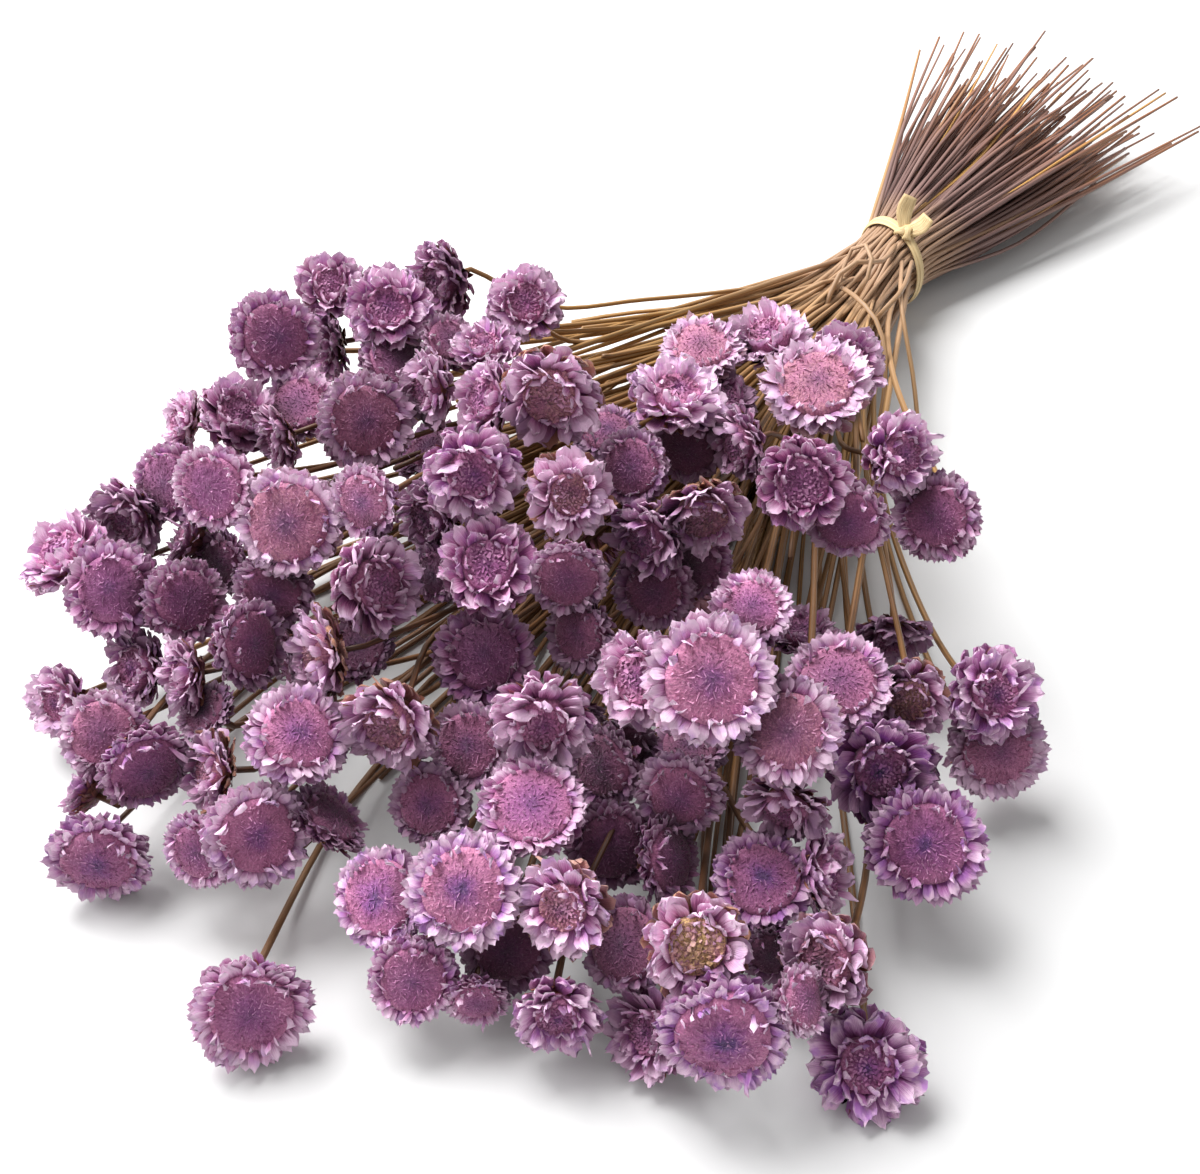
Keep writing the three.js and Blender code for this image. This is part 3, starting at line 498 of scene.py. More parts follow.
# How single heads in the photograph differ: the pixel of a head's middle, then how violet its
# centre is, how warm its disc and outer ring are, and how much paler than the others it is.
# Where a head lies deep in the pile, a low paleness is painted shade.
SEEDY_PIXEL = (697, 946)
LOOKS = [
    (457, 890, 1, 0.3, 0.2), (388, 895, 0.8, 0.1, 0), (730, 1040, 1, 0, 0), (870, 1065, 0.9, 0, -0.2),
    (880, 770, 1, 0, -0.4), (930, 843, 0.8, 0, -0.3), (765, 880, 0.9, 0, -0.2), (100, 860, 0.6, 0, 0),
    (557, 1015, 0.6, 0.3, -0.2), (*SEEDY_PIXEL, 0, 2, 0.1), (908, 700, 0, 1.4, -0.1),
    (818, 385, 0.1, 0.6, 0.5), (570, 495, 0, 0.9, 0.1), (562, 908, 0.3, 0.8, 0.1),
    (702, 348, 0, 0.5, 0.3), (822, 963, 0.2, 0.7, 0.4), (712, 679, 0.4, 0.3, 0.4),
    (288, 523, 0.4, 0.5, 0.4), (258, 834, 0.4, 0, 0.4), (543, 725, 0.1, 0.2, 0.3),
    (997, 695, 0.6, 0, -0.1), (250, 1010, 0.2, 0, -0.1), (533, 807, 0.3, 0, -0.15),
    (365, 420, 0.3, 0.4, 0.3), (786, 730, 0.2, 0.5, 0.2), (838, 683, 0.2, 0.3, 0),
    (298, 735, 0.4, 0, 0.1), (550, 397, 0, 0.9, 0.3), (703, 518, 0.1, 1, 0), (390, 727, 0.1, 0.9, 0.2),
    (315, 655, 0.1, 1, 0.2), (208, 770, 0.1, 0.9, 0.2), (676, 395, 0.3, 0.2, 0.4),
    # Painted shade: this head lies deep in the pile, so its paleness is set low to darken it
    (485, 655, 0.2, 0, -0.5),
]
LOOK_REACH = 22

# The looks of all other heads come by chance
CHANCE_DYE = 0.35
CHANCE_PALE = (0.03, 0.22)

# How much light reaches a place in the pile: a share of all ways out is stopped by heads
WAYS_OUT = 48
HEAD_TALL = 0.34
FROM_BELOW = 0.35
DARKEST = 0.13
DARK_POWER = 1.35
STALK_POWER = 1.6
RIM_SPOTS = 8
RIM_AT = 0.7
SPOT_LIFT = 0.25
UNDERSIDE = 0.45
UNDERSIDE_AT = 0.4


def ways_out():
    """Directions spread evenly over a ball."""
    i = np.arange(WAYS_OUT) + 0.5
    up = 1 - 2 * i / WAYS_OUT
    flat = np.sqrt(1 - up ** 2)
    return np.column_stack([flat * np.cos(GOLDEN_TURN * i), flat * np.sin(GOLDEN_TURN * i), up])


def openness(places, faces, poses, own=None):
    """The share of the light from all round that reaches each place past the heads. Each head is
    taken as a flattened ball, and own names the head that a place belongs to."""
    ways = ways_out()
    weight = np.where(ways[:, 2] > 0, 1.0, FROM_BELOW)[None, :] * np.ones((len(places), 1))
    if faces is not None:
        weight = weight * np.clip(faces @ ways.T, 0, 1)
    free = np.ones((len(places), WAYS_OUT), bool)
    for k, pose in enumerate(poses):
        face = np.array(pose.face)
        squash = (np.eye(3) + (1 / HEAD_TALL - 1) * np.outer(face, face)) / pose.radius
        start = (places - np.array(pose.middle)) @ squash
        way = ways @ squash
        ahead = start @ way.T
        length = (way ** 2).sum(1)
        gap = ahead ** 2 - length * ((start ** 2).sum(1)[:, None] - 1)
        hit = (gap > 0) & (np.sqrt(np.maximum(gap, 0)) - ahead > 0)
        if own is not None:
            hit[own == k] = False
        free &= ~hit
    return (weight * free).sum(1) / weight.sum(1)


def darkened(seen):
    return DARKEST + (1 - DARKEST) * seen ** DARK_POWER


def shade_heads(poses):
    """Gives each head its shade in the middle and at spots round its rim."""
    places, faces, own = [], [], []
    for k, pose in enumerate(poses):
        across = pose.face.orthogonal().normalized()
        pose.across, pose.beside = across, pose.face.cross(across)
        angles = [math.tau * spot / RIM_SPOTS for spot in range(RIM_SPOTS)]
        rim = [(across * math.cos(a) + pose.beside * math.sin(a)) * RIM_AT for a in angles]
        for out in (Vector(), *rim):
            places.append(pose.middle + (out + pose.face * SPOT_LIFT) * pose.radius)
            faces.append(pose.face)
            own.append(k)
    seen = openness(np.array(places), np.array(faces), poses, np.array(own))
    for pose, row in zip(poses, seen.reshape(-1, RIM_SPOTS + 1)):
        pose.shade = darkened(row)


def shade_over(places, pose):
    """The shade of each vertex of a head, from its middle and its rim; undersides are darker."""
    off = (places - np.array(pose.middle)) / pose.radius
    x, y, z = (off @ np.array(axis) for axis in (pose.across, pose.beside, pose.face))
    middle, rim = pose.shade[0], pose.shade[1:]
    at = (np.arctan2(y, x) / math.tau % 1) * RIM_SPOTS
    round_by = np.interp(at, np.arange(RIM_SPOTS + 1), [*rim, rim[0]])
    share = np.clip(np.hypot(x, y) / RIM_AT, 0, 1)
    under = 1 - UNDERSIDE * np.clip(-z / UNDERSIDE_AT, 0, 1)
    return (middle + (round_by - middle) * share) * under


def shows_at(pose, pixel):
    return math.dist(pixel_of(pose.middle), pixel) < LOOK_REACH


def look_of(pose, die):
    """How violet, warm and pale a head is: as in the photograph, or else by chance."""
    look = [CHANCE_DYE * die.random(), CHANCE_DYE * die.random(), die.gauss(*CHANCE_PALE)]
    for u, v, *seen in LOOKS:
        if shows_at(pose, (u, v)):
            look = seen
    return look


# How far a whole head is bent, and how much smaller or larger its disc is
CUPPED = (-0.05, 0.06)
FOLDED = 0.05
UNEVEN = 0.02
DISC_GROWTH = (-0.26, 0.12)


def warped(places, die):
    """Bends a whole head a little, so that no two are alike, and keeps it inside its radius."""
    x, y, z = places.T
    out = np.hypot(x, y)
    round_by = np.arctan2(y, x)
    cup = die.uniform(*CUPPED)
    tip_by, fold_by = die.uniform(0, math.tau), die.uniform(0, math.tau)
    z = z + cup * out ** 2 + FOLDED * out ** 2 * np.cos(2 * (round_by - fold_by))
    uneven = (1 + np.cos(round_by - tip_by)) + (1 + np.cos(3 * round_by - fold_by))
    shrink = 1 + UNEVEN - UNEVEN * uneven + die.uniform(*DISC_GROWTH) * np.clip(1 - out, 0, 1)
    return np.column_stack([x * shrink, y * shrink, z])


# The solids' box, drawn in a little
INNER_BOX = np.array(CAD_BOX) + np.array([[0.05], [-0.05]]) * MM


def places_of(mesh):
    places = np.empty(len(mesh.vertices) * 3, np.float32)
    mesh.vertices.foreach_get("co", places)
    return places.reshape(-1, 3)


def move_to(mesh, places):
    """Moves a mesh's vertices to new places, kept inside the box."""
    places = np.clip(places, *INNER_BOX)
    mesh.vertices.foreach_set("co", places.astype(np.float32).ravel())
    mesh.update()
    return places


def place_head(variant, pose, die):
    """A copy of a head at its pose, with the marks that its finish reads."""
    mesh = variant.copy()
    places = warped(places_of(mesh), die) * pose.radius
    spun = Matrix.Rotation(die.uniform(0, math.tau), 3, "Z")
    turn = pose.face.to_track_quat("Z", "Y").to_matrix() @ spun
    places = move_to(mesh, places @ np.array(turn).T + np.array(pose.middle))
    look = np.tile(np.array([*look_of(pose, die), 1], np.float32), (len(places), 1))
    look[:, 3] = shade_over(places, pose)
    mesh.attributes.new("head", "FLOAT_COLOR", "POINT").data.foreach_set("color", look.ravel())
    return mesh


def joined(meshes, name):
    """One object of several meshes."""
    objects = [linked(name, mesh) for mesh in meshes]
    if len(objects) > 1:
        with bpy.context.temp_override(active_object=objects[0], selected_editable_objects=objects):
            bpy.ops.object.join()
    return objects[0]


def add_heads(finishes):
    variants = {form: [make_head(form, 10 * i + len(form), form) for i in range(VARIANTS)]
                for form in FORMS}
    seedy = make_head("cup", 1, "seedy")
    for mesh in (*sum(variants.values(), []), seedy):
        for finish in finishes:
            mesh.materials.append(finish)
    heads = {node: read_heads(node) for node in sorted(frame["nodes"]) if node.startswith("heads")}
    poses = [pose for found in heads.values() for pose in found]
    shade_heads(poses)
    for node, found in heads.items():
        meshes = []
        for pose in found:
            die = random.Random(round(sum(pose.middle) * SEEDS_IN_METRE))
            variant = variants[pose.form][die.randrange(VARIANTS)]
            meshes.append(place_head(seedy if shows_at(pose, SEEDY_PIXEL) else variant, pose, die))
        piece = joined(meshes, node.replace("heads", "flowers"))
        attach(piece, "root")
        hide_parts(node)
    return poses


# The stems: the fan of cut ends behind the waist, and the places in the waist, called slots, in
# which the solids and this model hold them
TAIL_LENGTH = 120 * MM
TAIL_HALF_WIDTH = 44 * MM
TAIL_HALF_HEIGHT = 15.5 * MM
TAIL_SKEW = 2 * MM
SLOT_REACH = 8.2 * MM
BUNDLE_REACH = 9.7 * MM
STEM_FLOOR = 0.77 * MM

# Where more stems come from the heads than cut ends were found, an end is used twice, shifted
TAIL_SHIFT = Vector((-3, -12, 2)) * MM


def slot_of_tail(tail):
    """The place in the waist that a cut end fans out from."""
    end = tail[0] - WAIST
    share = end.y / TAIL_LENGTH
    across = (end.x / share - TAIL_SKEW) / TAIL_HALF_WIDTH
    up = (tail[0].z - STEM_FLOOR) / (share * TAIL_HALF_HEIGHT) - 1
    slot = Vector((across, 0, up)) * SLOT_REACH
    return slot if slot.length < SLOT_REACH else slot * (SLOT_REACH / slot.length)


def ranks(values):
    order = np.argsort(values)
    rank = np.empty(len(values))
    rank[order] = (np.arange(len(values)) + 0.5) / len(values) * 2 - 1
    return rank


def slots_of_fronts(fronts):
    """The places in the waist in the order in which the heads are spread out."""
    ends = [front[0] - WAIST for front in fronts]
    across = ranks([end.x / -end.y for end in ends])
    up = ranks([end.z / -end.y for end in ends])
    x = across * np.sqrt(1 - 0.5 * up ** 2)
    z = up * np.sqrt(1 - 0.5 * across ** 2)
    return [Vector((a, 0, b)) * SLOT_REACH for a, b in zip(x, z)]


def paired(fronts, tails):
    """Joins each front stem to the cut end whose place in the waist is nearest to its own."""
    free = [(slot_of_tail(tail), tail) for tail in tails]
    free += [(slot, [tail[0] + TAIL_SHIFT]) for slot, tail in free[:len(fronts) - len(tails)]]
    pairs = []
    wanted = sorted(zip(slots_of_fronts(fronts), fronts), key=lambda pair: -pair[0].length)
    for slot, front in wanted:
        best = min(free, key=lambda one: (one[0] - slot).length)
        free.remove(best)
        pairs.append((front, best[0], best[1]))
    return pairs


PULL = 0.33
CURVE_POINTS = 24


def spline(points, step):
    """Even steps along the smooth curve through the points."""
    points = [points[0] * 2 - points[1], *points, points[-1] * 2 - points[-2]]
    fine = []
    for a, b, c, d in zip(points, points[1:], points[2:], points[3:]):
        lean = PULL * (c - b).length
        fine += interpolate_bezier(b, b + (c - a).normalized() * lean, c - (d - b).normalized() * lean,
                                   c, CURVE_POINTS)[:-1]
    fine.append(points[-2])
    far = np.concatenate([[0], np.cumsum([(q - p).length for p, q in zip(fine, fine[1:])])])
    count = max(3, round(far[-1] / step))
    places = np.array(fine)
    even = np.linspace(0, far[-1], count + 1)
    return [Vector(np.array([np.interp(s, far, places[:, k]) for k in range(3)])) for s in even]


def ring_frames(path):
    """A place and a turn for every ring along a path, with as little twist as can be."""
    across = (path[1] - path[0]).orthogonal()
    frames = []
    for i, point in enumerate(path):
        ahead = (path[min(i + 1, len(path) - 1)] - path[max(i - 1, 0)]).normalized()
        across = (across - ahead * across.dot(ahead)).normalized()
        turn = Matrix((across, ahead.cross(across), ahead)).transposed()
        frames.append(Matrix.Translation(point) @ turn.to_4x4())
    return frames


def sweep(frames, sizes, marks, sides, ribs=0.0):
    """A stalk along a row of frames, closed at both ends: its half width and half height are
    given for every ring, and so are its three marks and its shade. Ribs raises every other edge."""
    bm = bmesh.new()
    layer = bm.verts.layers.float_color.new("stalk")
    shades = bm.verts.layers.float.new("shade")
    ring = bmesh.ops.create_circle(bm, segments=sides, radius=1)["verts"]
    bmesh.ops.scale(bm, vec=(1 + ribs, 1 + ribs, 1), verts=ring[::2])
    edges = bm.edges[:]
    last = Matrix.Identity(4)
    for frame_at, size, mark in zip(frames, sizes, marks):
        if last != Matrix.Identity(4):
            made = bmesh.ops.extrude_edge_only(bm, edges=edges)["geom"]
            ring = only(bmesh.types.BMVert, made)
            edges = [edge for edge in only(bmesh.types.BMEdge, made) if set(edge.verts) <= set(ring)]
        now = frame_at @ Matrix.Diagonal((*size, 1, 1))
        bmesh.ops.transform(bm, matrix=now @ last.inverted(), verts=ring)
        back = frame_at.inverted()
        for vert in ring:
            local = back @ vert.co
            vert[layer] = (math.atan2(local.y, local.x) / math.tau + 0.5, *mark[:3])
            vert[shades] = mark[3]
        last = now
    bmesh.ops.holes_fill(bm, edges=[e for e in bm.edges if e.is_boundary], sides=sides)
    bmesh.ops.recalc_face_normals(bm, faces=bm.faces)
    for face in bm.faces:
        face.smooth = len(face.verts) == 4
    return mesh_from(bm, "stalk")


FRONT_REACH = 250 * MM
NECK_STRAIGHT = 4 * MM
NECK_INSIDE = 0.06
HELD_AT = (-6 * MM, 0, 3 * MM)
STEM_SEED = 5
STEM_SIDES = 6
STEM_RIBS = 0.12
STEM_SIZES = (0.86, 1.1)
STEM_FLATNESS = 0.9
STEM_WAVES = 60
STEM_SWELL = 0.12
STEP = 5 * MM
SHADE_EVERY = 3
TIP_FROM = 0.45
TIP_SLIM = 0.5

# How high the stems in front of the waist lie at most: it rises towards the heads
SAG_BASE = 12 * MM
SAG_RISE = 0.20

# Bare stems, which have lost their heads: each starts beside another stem, some way along it,
# aside and lower by so many millimetres, and ends at a share of the length of the cut ends
BARE_STEMS = 230
BARE_SIDES = 4
BARE_STEP = 8 * MM
BARE_STARTS = (0.12, 0.6)
BARE_ASIDE = 6
BARE_DROPS = (2, 22)
BARE_ENDS = (0.55, 0.97)
GUIDE_LEAST = 4
GUIDE_LEFT_OF = 760

# Stems that loop over the bundle in front of the tie: pixels and their heights in millimetres
LOOPS = (
    ((842, 288, 21), (858, 299, 25), (876, 320, 24), (885, 350, 20), (884, 395, 13), (876, 440, 6)),
    ((834, 304, 17), (845, 264, 23), (857, 244, 28), (870, 250, 29), (870, 272, 26), (857, 296, 20)),
    ((872, 324, 20), (887, 307, 25), (902, 290, 26), (912, 262, 20)),
    ((902, 262, 20), (901, 300, 25), (906, 335, 20), (913, 375, 13), (919, 432, 4)),
    ((824, 312, 18), (838, 276, 24), (856, 262, 27), (880, 262, 24), (896, 244, 20)),
)


def head_of(front, poses):
    """The head that a stem starts at."""
    def gap(pose):
        drop = FORMS[pose.form]["drop"] * pose.radius + NECK_GAP
        return (pose.middle - pose.face * drop - front[0]).length
    return min(poses, key=gap)


def in_bundle(slot):
    return WAIST + slot * (BUNDLE_REACH / SLOT_REACH)


def held_at(slot):
    return [in_bundle(slot) + Vector((0, off, 0)) for off in HELD_AT]


def settled(point):
    """A point of a stem, no higher than the stems below would hold it."""
    return Vector((point.x, point.y, min(point.z, SAG_BASE + SAG_RISE * (WAIST.y - point.y))))


def stem_path(front, slot, tail, pose, die):
    """From just inside the head over the neck to the waist, and on to the cut end."""
    pole = pose.middle - pose.face * FORMS[pose.form]["drop"] * pose.radius
    inside = pole + pose.face * NECK_INSIDE * pose.radius
    back = (in_bundle(slot) + tail[0]) / 2 + Vector((die.gauss(0, 1), 0, die.gauss(0, 1))) * MM
    neck = pole - pose.face * NECK_STRAIGHT
    return [inside, neck, *map(settled, front[1:]), *held_at(slot), back, tail[0]]


def bare_path(guides, die):
    """A stem that has lost its head: beside another one for a part of its way, then to its end."""
    guide = guides[die.randrange(len(guides))]
    start = die.uniform(*BARE_STARTS) * (len(guide) - 1)
    first = int(start)
    aside = Vector((die.gauss(0, BARE_ASIDE), 0, -die.uniform(*BARE_DROPS))) * MM
    front = [guide[first].lerp(guide[first + 1], start - first), *guide[first + 1:]]
    count = len(front)
    front = [point + aside * (1 - i / count) for i, point in enumerate(front)]
    angle = die.uniform(0, math.tau)
    slot = round_waist(angle) * SLOT_REACH * math.sqrt(die.random())
    shortest, longest = BARE_ENDS
    share = shortest + (longest - shortest) * die.random() ** 1.5
    across = (slot.x / SLOT_REACH * TAIL_HALF_WIDTH + TAIL_SKEW) * share
    height = STEM_FLOOR + (1 + slot.z / SLOT_REACH) * TAIL_HALF_HEIGHT * share
    end = Vector((WAIST.x + across, WAIST.y + TAIL_LENGTH * share, height))
    back = (in_bundle(slot) + end) / 2 + Vector((die.gauss(0, 1.5), 0, die.gauss(0, 1))) * MM
    return [*front, *held_at(slot), back, end]


def over_floor(path):
    return [Vector((p.x, p.y, max(p.z, STEM_FLOOR))) for p in path]


def shades_along(paths, poses):
    """The shade at each ring of each path: looked up at every few rings, and even between."""
    spots = [path[::SHADE_EVERY] for path in paths]
    seen = darkened(openness(np.array([p for row in spots for p in row]), None, poses) ** STALK_POWER)
    shades, at = [], 0
    for path, row in zip(paths, spots):
        known = seen[at:at + len(row)]
        at += len(row)
        shades.append(np.interp(np.arange(len(path)), np.arange(len(row)) * SHADE_EVERY, known))
    return shades


def stalk(path, shades, sides, ribs, die):
    """A stem: slimmer at its cut end, with a little swelling along it."""
    thick = STEM_RADIUS * die.uniform(*STEM_SIZES)
    hue = die.random()
    sizes, marks = [], []
    for point, shade in zip(path, shades):
        off = point.y - WAIST.y
        front, tail = max(0, -off / FRONT_REACH), max(0, off / TAIL_LENGTH)
        slim = 1 + STEM_SWELL * noise.noise(Vector((100 * hue, STEM_WAVES * off, 0)))
        slim *= 1 - TIP_SLIM * max(0, tail - TIP_FROM) / (1 - TIP_FROM)
        sizes.append((thick * slim, thick * slim * STEM_FLATNESS))
        marks.append((front, tail, hue, shade))
    return sweep(ring_frames(path), sizes, marks, sides, ribs)


def add_stems(poses, finish):
    fronts, tails = read_stems()
    die = random.Random(STEM_SEED)
    whole = [over_floor(spline(stem_path(front, slot, tail, head_of(front, poses), die), STEP))
             for front, slot, tail in paired(fronts, tails)]
    guides = [front for front in fronts
              if len(front) >= GUIDE_LEAST and pixel_of(front[0])[0] < GUIDE_LEFT_OF]
    bare = [over_floor(spline(bare_path(guides, die), BARE_STEP)) for _ in range(BARE_STEMS)]
    whole += [spline([place_at(u, v, high * MM) for u, v, high in loop], STEP) for loop in LOOPS]
    shades = shades_along(whole + bare, poses)
    meshes = [stalk(path, shade, STEM_SIDES, STEM_RIBS, die) for path, shade in zip(whole, shades)]
    meshes += [stalk(path, shade, BARE_SIDES, 0.0, die)
               for path, shade in zip(bare, shades[len(whole):])]
    piece = joined(meshes, "stalks")
    move_to(piece.data, places_of(piece.data))
    piece.data.materials.append(finish)
    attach(piece, "root")
    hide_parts("stems")


# The tie: two turns of the strip, each shifted along the bunch, lifted from it and waved
STRAP_TURNS = (
    {"shift": -0.6 * MM, "lift": 0.0, "phase": -0.54, "hue": 0.32},
    {"shift": 0.5 * MM, "lift": 0.3 * MM, "phase": 0.45, "hue": 0.65},
)
STRAP_WAVE = 0.25 * MM
STRAP_FLOOR = 0.05 * MM
STRAP_HALF_WIDTH = 1.1 * MM
STRAP_HALF_THICK = 0.32 * MM
STRAP_POINTS = 72
STRAP_SIDES = 10
STRAP_RADIUS = 10.9 * MM
TIE_SLANT = 0.45
KNOT_ANGLE = math.radians(72)
KNOT_TOP = round_waist(KNOT_ANGLE)
KNOT_ASIDE = Vector((KNOT_TOP.z, 0, -KNOT_TOP.x))
KNOT_LIFT = 0.9 * MM
KNOT_BACK = Vector((0, TIE_SLANT * KNOT_TOP.x * STRAP_RADIUS, 0))
KNOT = WAIST + KNOT_TOP * (STRAP_RADIUS + KNOT_LIFT) - KNOT_BACK

# The two crossing folds of the knot, in millimetres: aside, outwards and along the bunch
KNOT_FOLDS = (
    ((-2.4, -0.9, -1.2), (-1.2, 0.2, -1.5), (0.5, 0.7, 0), (1.4, 0.1, 1.5), (2.4, -0.9, 1.1)),
    ((-1.3, -0.6, 2.2), (-0.5, 0.9, 1.0), (0.5, 1.1, -0.8), (1.5, -0.5, -2.2)),
)
FOLD_HUES = (0.3, 0.6)
FOLD_STEP = 0.6 * MM
FOLD_HALF_WIDTH = 1.3 * MM
FOLD_HALF_THICK = 0.4 * MM
FOLD_UNEVEN = 0.2

# The two cut ends of the strip, which stand up from the knot
STUBS = (
    {"way": Vector((-0.35, 0.75, 1.0)), "long": 9.0 * MM, "wide": 2.3 * MM, "curl": -1.2 * MM,
     "hue": 0.4},
    {"way": Vector((0.75, 0.35, 0.80)), "long": 6.8 * MM, "wide": 2.4 * MM, "curl": 1.2 * MM,
     "hue": 0.7},
)
STUB_STEPS = 11
STUB_THICK = 0.3 * MM
STUB_ROOT = 0.8 * MM
STUB_NARROW = 0.4
STUB_BELLY = 2.3


def straw_mesh(frames, sizes, shares, hue):
    """A piece of the strip, with the marks that its finish reads."""
    return sweep(frames, sizes, [(share, 0, hue, 1) for share in shares], STRAP_SIDES)


def turn_mesh(shift, lift, phase, hue):
    """A slanting turn of the strip round the waist, pressed flat where it touches the surface."""
    radius = STRAP_RADIUS + lift
    frames = []
    for i in range(STRAP_POINTS):
        angle = KNOT_ANGLE + math.tau * i / (STRAP_POINTS - 1)
        wave = STRAP_WAVE * math.sin(3 * angle + phase)
        out = round_waist(angle)
        place = WAIST + out * radius + Vector((0, shift + wave - TIE_SLANT * out.x * radius, 0))
        place.z = max(place.z, STRAP_HALF_THICK + STRAP_FLOOR)
        along = Vector((-out.z, TIE_SLANT * out.z, out.x)).normalized()
        over = (out - along * out.dot(along)).normalized()
        turn = Matrix((over.cross(along), over, along)).transposed()
        frames.append(Matrix.Translation(place) @ turn.to_4x4())
    sizes = [(STRAP_HALF_WIDTH, STRAP_HALF_THICK)] * STRAP_POINTS
    return straw_mesh(frames, sizes, [i / STRAP_POINTS for i in range(STRAP_POINTS)], hue)


def fold_mesh(fold, hue):
    """A fold of the knot, a little uneven in its width."""
    points = [KNOT + (KNOT_ASIDE * a + KNOT_TOP * b + Vector((0, c, 0))) * MM for a, b, c in fold]
    path = spline(points, FOLD_STEP)
    count = len(path)
    wide = [1 - FOLD_UNEVEN + FOLD_UNEVEN * math.sin(3 + i) for i in range(count)]
    sizes = [(FOLD_HALF_WIDTH * share, FOLD_HALF_THICK) for share in wide]
    return straw_mesh(ring_frames(path), sizes, [i / count for i in range(count)], hue)


def stub_mesh(way, long, wide, curl, hue):
    """A cut end of the strip: narrow at the knot, wider further out, and curled over."""
    way = way.normalized()
    middle = KNOT + way * 0.5 * long + Vector((curl, 0, 0))
    path = spline([KNOT - way * STUB_ROOT, middle, KNOT + way * long], long / STUB_STEPS)
    shares = [i / (len(path) - 1) for i in range(len(path))]
    swell = [STUB_NARROW + (1 - STUB_NARROW) * math.sin(share * STUB_BELLY) for share in shares]
    sizes = [(wide * share, STUB_THICK) for share in swell]
    return straw_mesh(ring_frames(path), sizes, shares, hue)


def add_tie(finish):
    meshes = [turn_mesh(**turn) for turn in STRAP_TURNS]
    meshes += map(fold_mesh, KNOT_FOLDS, FOLD_HUES)
    meshes += [stub_mesh(**stub) for stub in STUBS]
    piece = joined(meshes, "straw_tie")
    move_to(piece.data, places_of(piece.data))
    piece.data.materials.append(finish)
    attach(piece, "root")
    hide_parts("tie")


# The finishes
class Nodes:
    """A node tree and a short way to add and join its nodes."""

    def __init__(self, tree):
        self.tree = tree

    def add(self, kind, inputs=None, **settings):
        node = self.tree.nodes.new(kind)
        for key, value in settings.items():
            setattr(node, key, value)
        for key, value in (inputs or {}).items():
            self.put(node.inputs[key], value)
        return node

    def put(self, socket, value):
        if isinstance(value, bpy.types.NodeSocket):
            self.tree.links.new(value, socket)
        else:
            socket.default_value = value

    def use(self, effect, **inputs):
        """The result of a shared effect."""
        return self.add("ShaderNodeGroup", inputs, node_tree=effect.tree).outputs[0]

    def math(self, operation, *values):
        return self.add("ShaderNodeMath", dict(enumerate(values)), operation=operation).outputs[0]

    def times(self, one, other):
        return self.math("MULTIPLY", one, other)

    def mix(self, share, one, two, blend="MIX"):
        inputs = {0: share, 6: one, 7: two}
        return self.add("ShaderNodeMix", inputs, data_type="RGBA", blend_type=blend).outputs[2]

    def spread(self, value, low, high, to_low=0.0, to_high=1.0):
        inputs = {0: value, 1: low, 2: high, 3: to_low, 4: to_high}
        return self.add("ShaderNodeMapRange", inputs).outputs[0]

    def ramp(self, value, low, high, one, two):
        """One colour where the value is low, the other where it is high."""
        return self.mix(self.spread(value, low, high), one, two)

    def added(self, value, other, share, middle=0.5):
        """A value plus a share of what another one is over its middle."""
        off = self.math("SUBTRACT", other, middle)
        return self.math("ADD", value, self.times(off, share))

    def vector(self, operation, *values):
        node = self.add("ShaderNodeVectorMath", dict(enumerate(values)), operation=operation)
        return node.outputs[1 if operation == "LENGTH" else 0]

    def joined(self, x=0.0, y=0.0, z=0.0):
        return self.add("ShaderNodeCombineXYZ", {0: x, 1: y, 2: z}).outputs[0]

    def marks(self, name):
        """The red, green, blue and alpha of a mark laid on the mesh."""
        node = self.add("ShaderNodeAttribute", attribute_name=name)
        parts = self.add("ShaderNodeSeparateColor", {0: node.outputs["Color"]})
        return (*parts.outputs[:3], node.outputs["Alpha"])

    def noise(self, scale, detail=3.0, vector=None):
        if vector is None:
            vector = self.add("ShaderNodeTexCoord").outputs["Object"]
        node = self.add("ShaderNodeTexNoise", {"Vector": vector, "Scale": scale, "Detail": detail})
        return node.outputs[0]


class Finish(Nodes):
    """A material."""

    def __init__(self, name):
        self.material = bpy.data.materials.new(name)
        self.material.use_nodes = True
        super().__init__(self.material.node_tree)
        self.shader = self.tree.nodes["Principled BSDF"]

    def bump(self, height, strength, distance):
        node = self.add("ShaderNodeBump", {"Height": height, "Strength": strength, "Distance": distance})
        self.put(self.shader.inputs["Normal"], node.outputs[0])

    def set(self, **values):
        for key, value in values.items():
            self.put(self.shader.inputs[key.replace("_", " ")], value)


class Effect(Nodes):
    """A node group that more than one finish uses."""

    def __init__(self, name, takes, gives):
        super().__init__(bpy.data.node_groups.new(name, "ShaderNodeTree"))
        for label, kind in takes.items():
            self.tree.interface.new_socket(label, in_out="INPUT", socket_type="NodeSocket" + kind)
        self.tree.interface.new_socket(gives[0], in_out="OUTPUT", socket_type="NodeSocket" + gives[1])
        self.given = self.add("NodeGroupInput").outputs
        self.result = self.add("NodeGroupOutput").inputs


def streaks_effect():
    """Fine streaks that run along a bract, a stem or a straw, other ones for each seed."""
    takes = dict.fromkeys(("Across", "Along", "Seed", "Lines", "Scale"), "Float")
    effect = Effect("streaks_along", takes, ("Streaks", "Float"))
    given = effect.given
    place = effect.joined(effect.times(given["Across"], given["Lines"]), given["Along"],
                          effect.times(given["Seed"], 60.0))
    effect.put(effect.result["Streaks"], effect.noise(given["Scale"], vector=place))
    return effect


# Light that has met a few bracts is purple: how much faster green and blue fade in the shade
SHADE_TINT = (1.25, 1.06)


def shade_effect():
    """A colour in the shade of the heads around it."""
    effect = Effect("shade_of_heads", {"Color": "Color", "Shade": "Float"}, ("Color", "Color"))
    shade = effect.given["Shade"]
    green, blue = (effect.math("POWER", shade, power) for power in SHADE_TINT)
    light = effect.add("ShaderNodeCombineColor", {0: shade, 1: green, 2: blue}).outputs[0]
    effect.put(effect.result["Color"], effect.mix(1.0, effect.given["Color"], light, blend="MULTIPLY"))
    return effect


def rgb(red, green, blue):
    return (red, green, blue, 1.0)


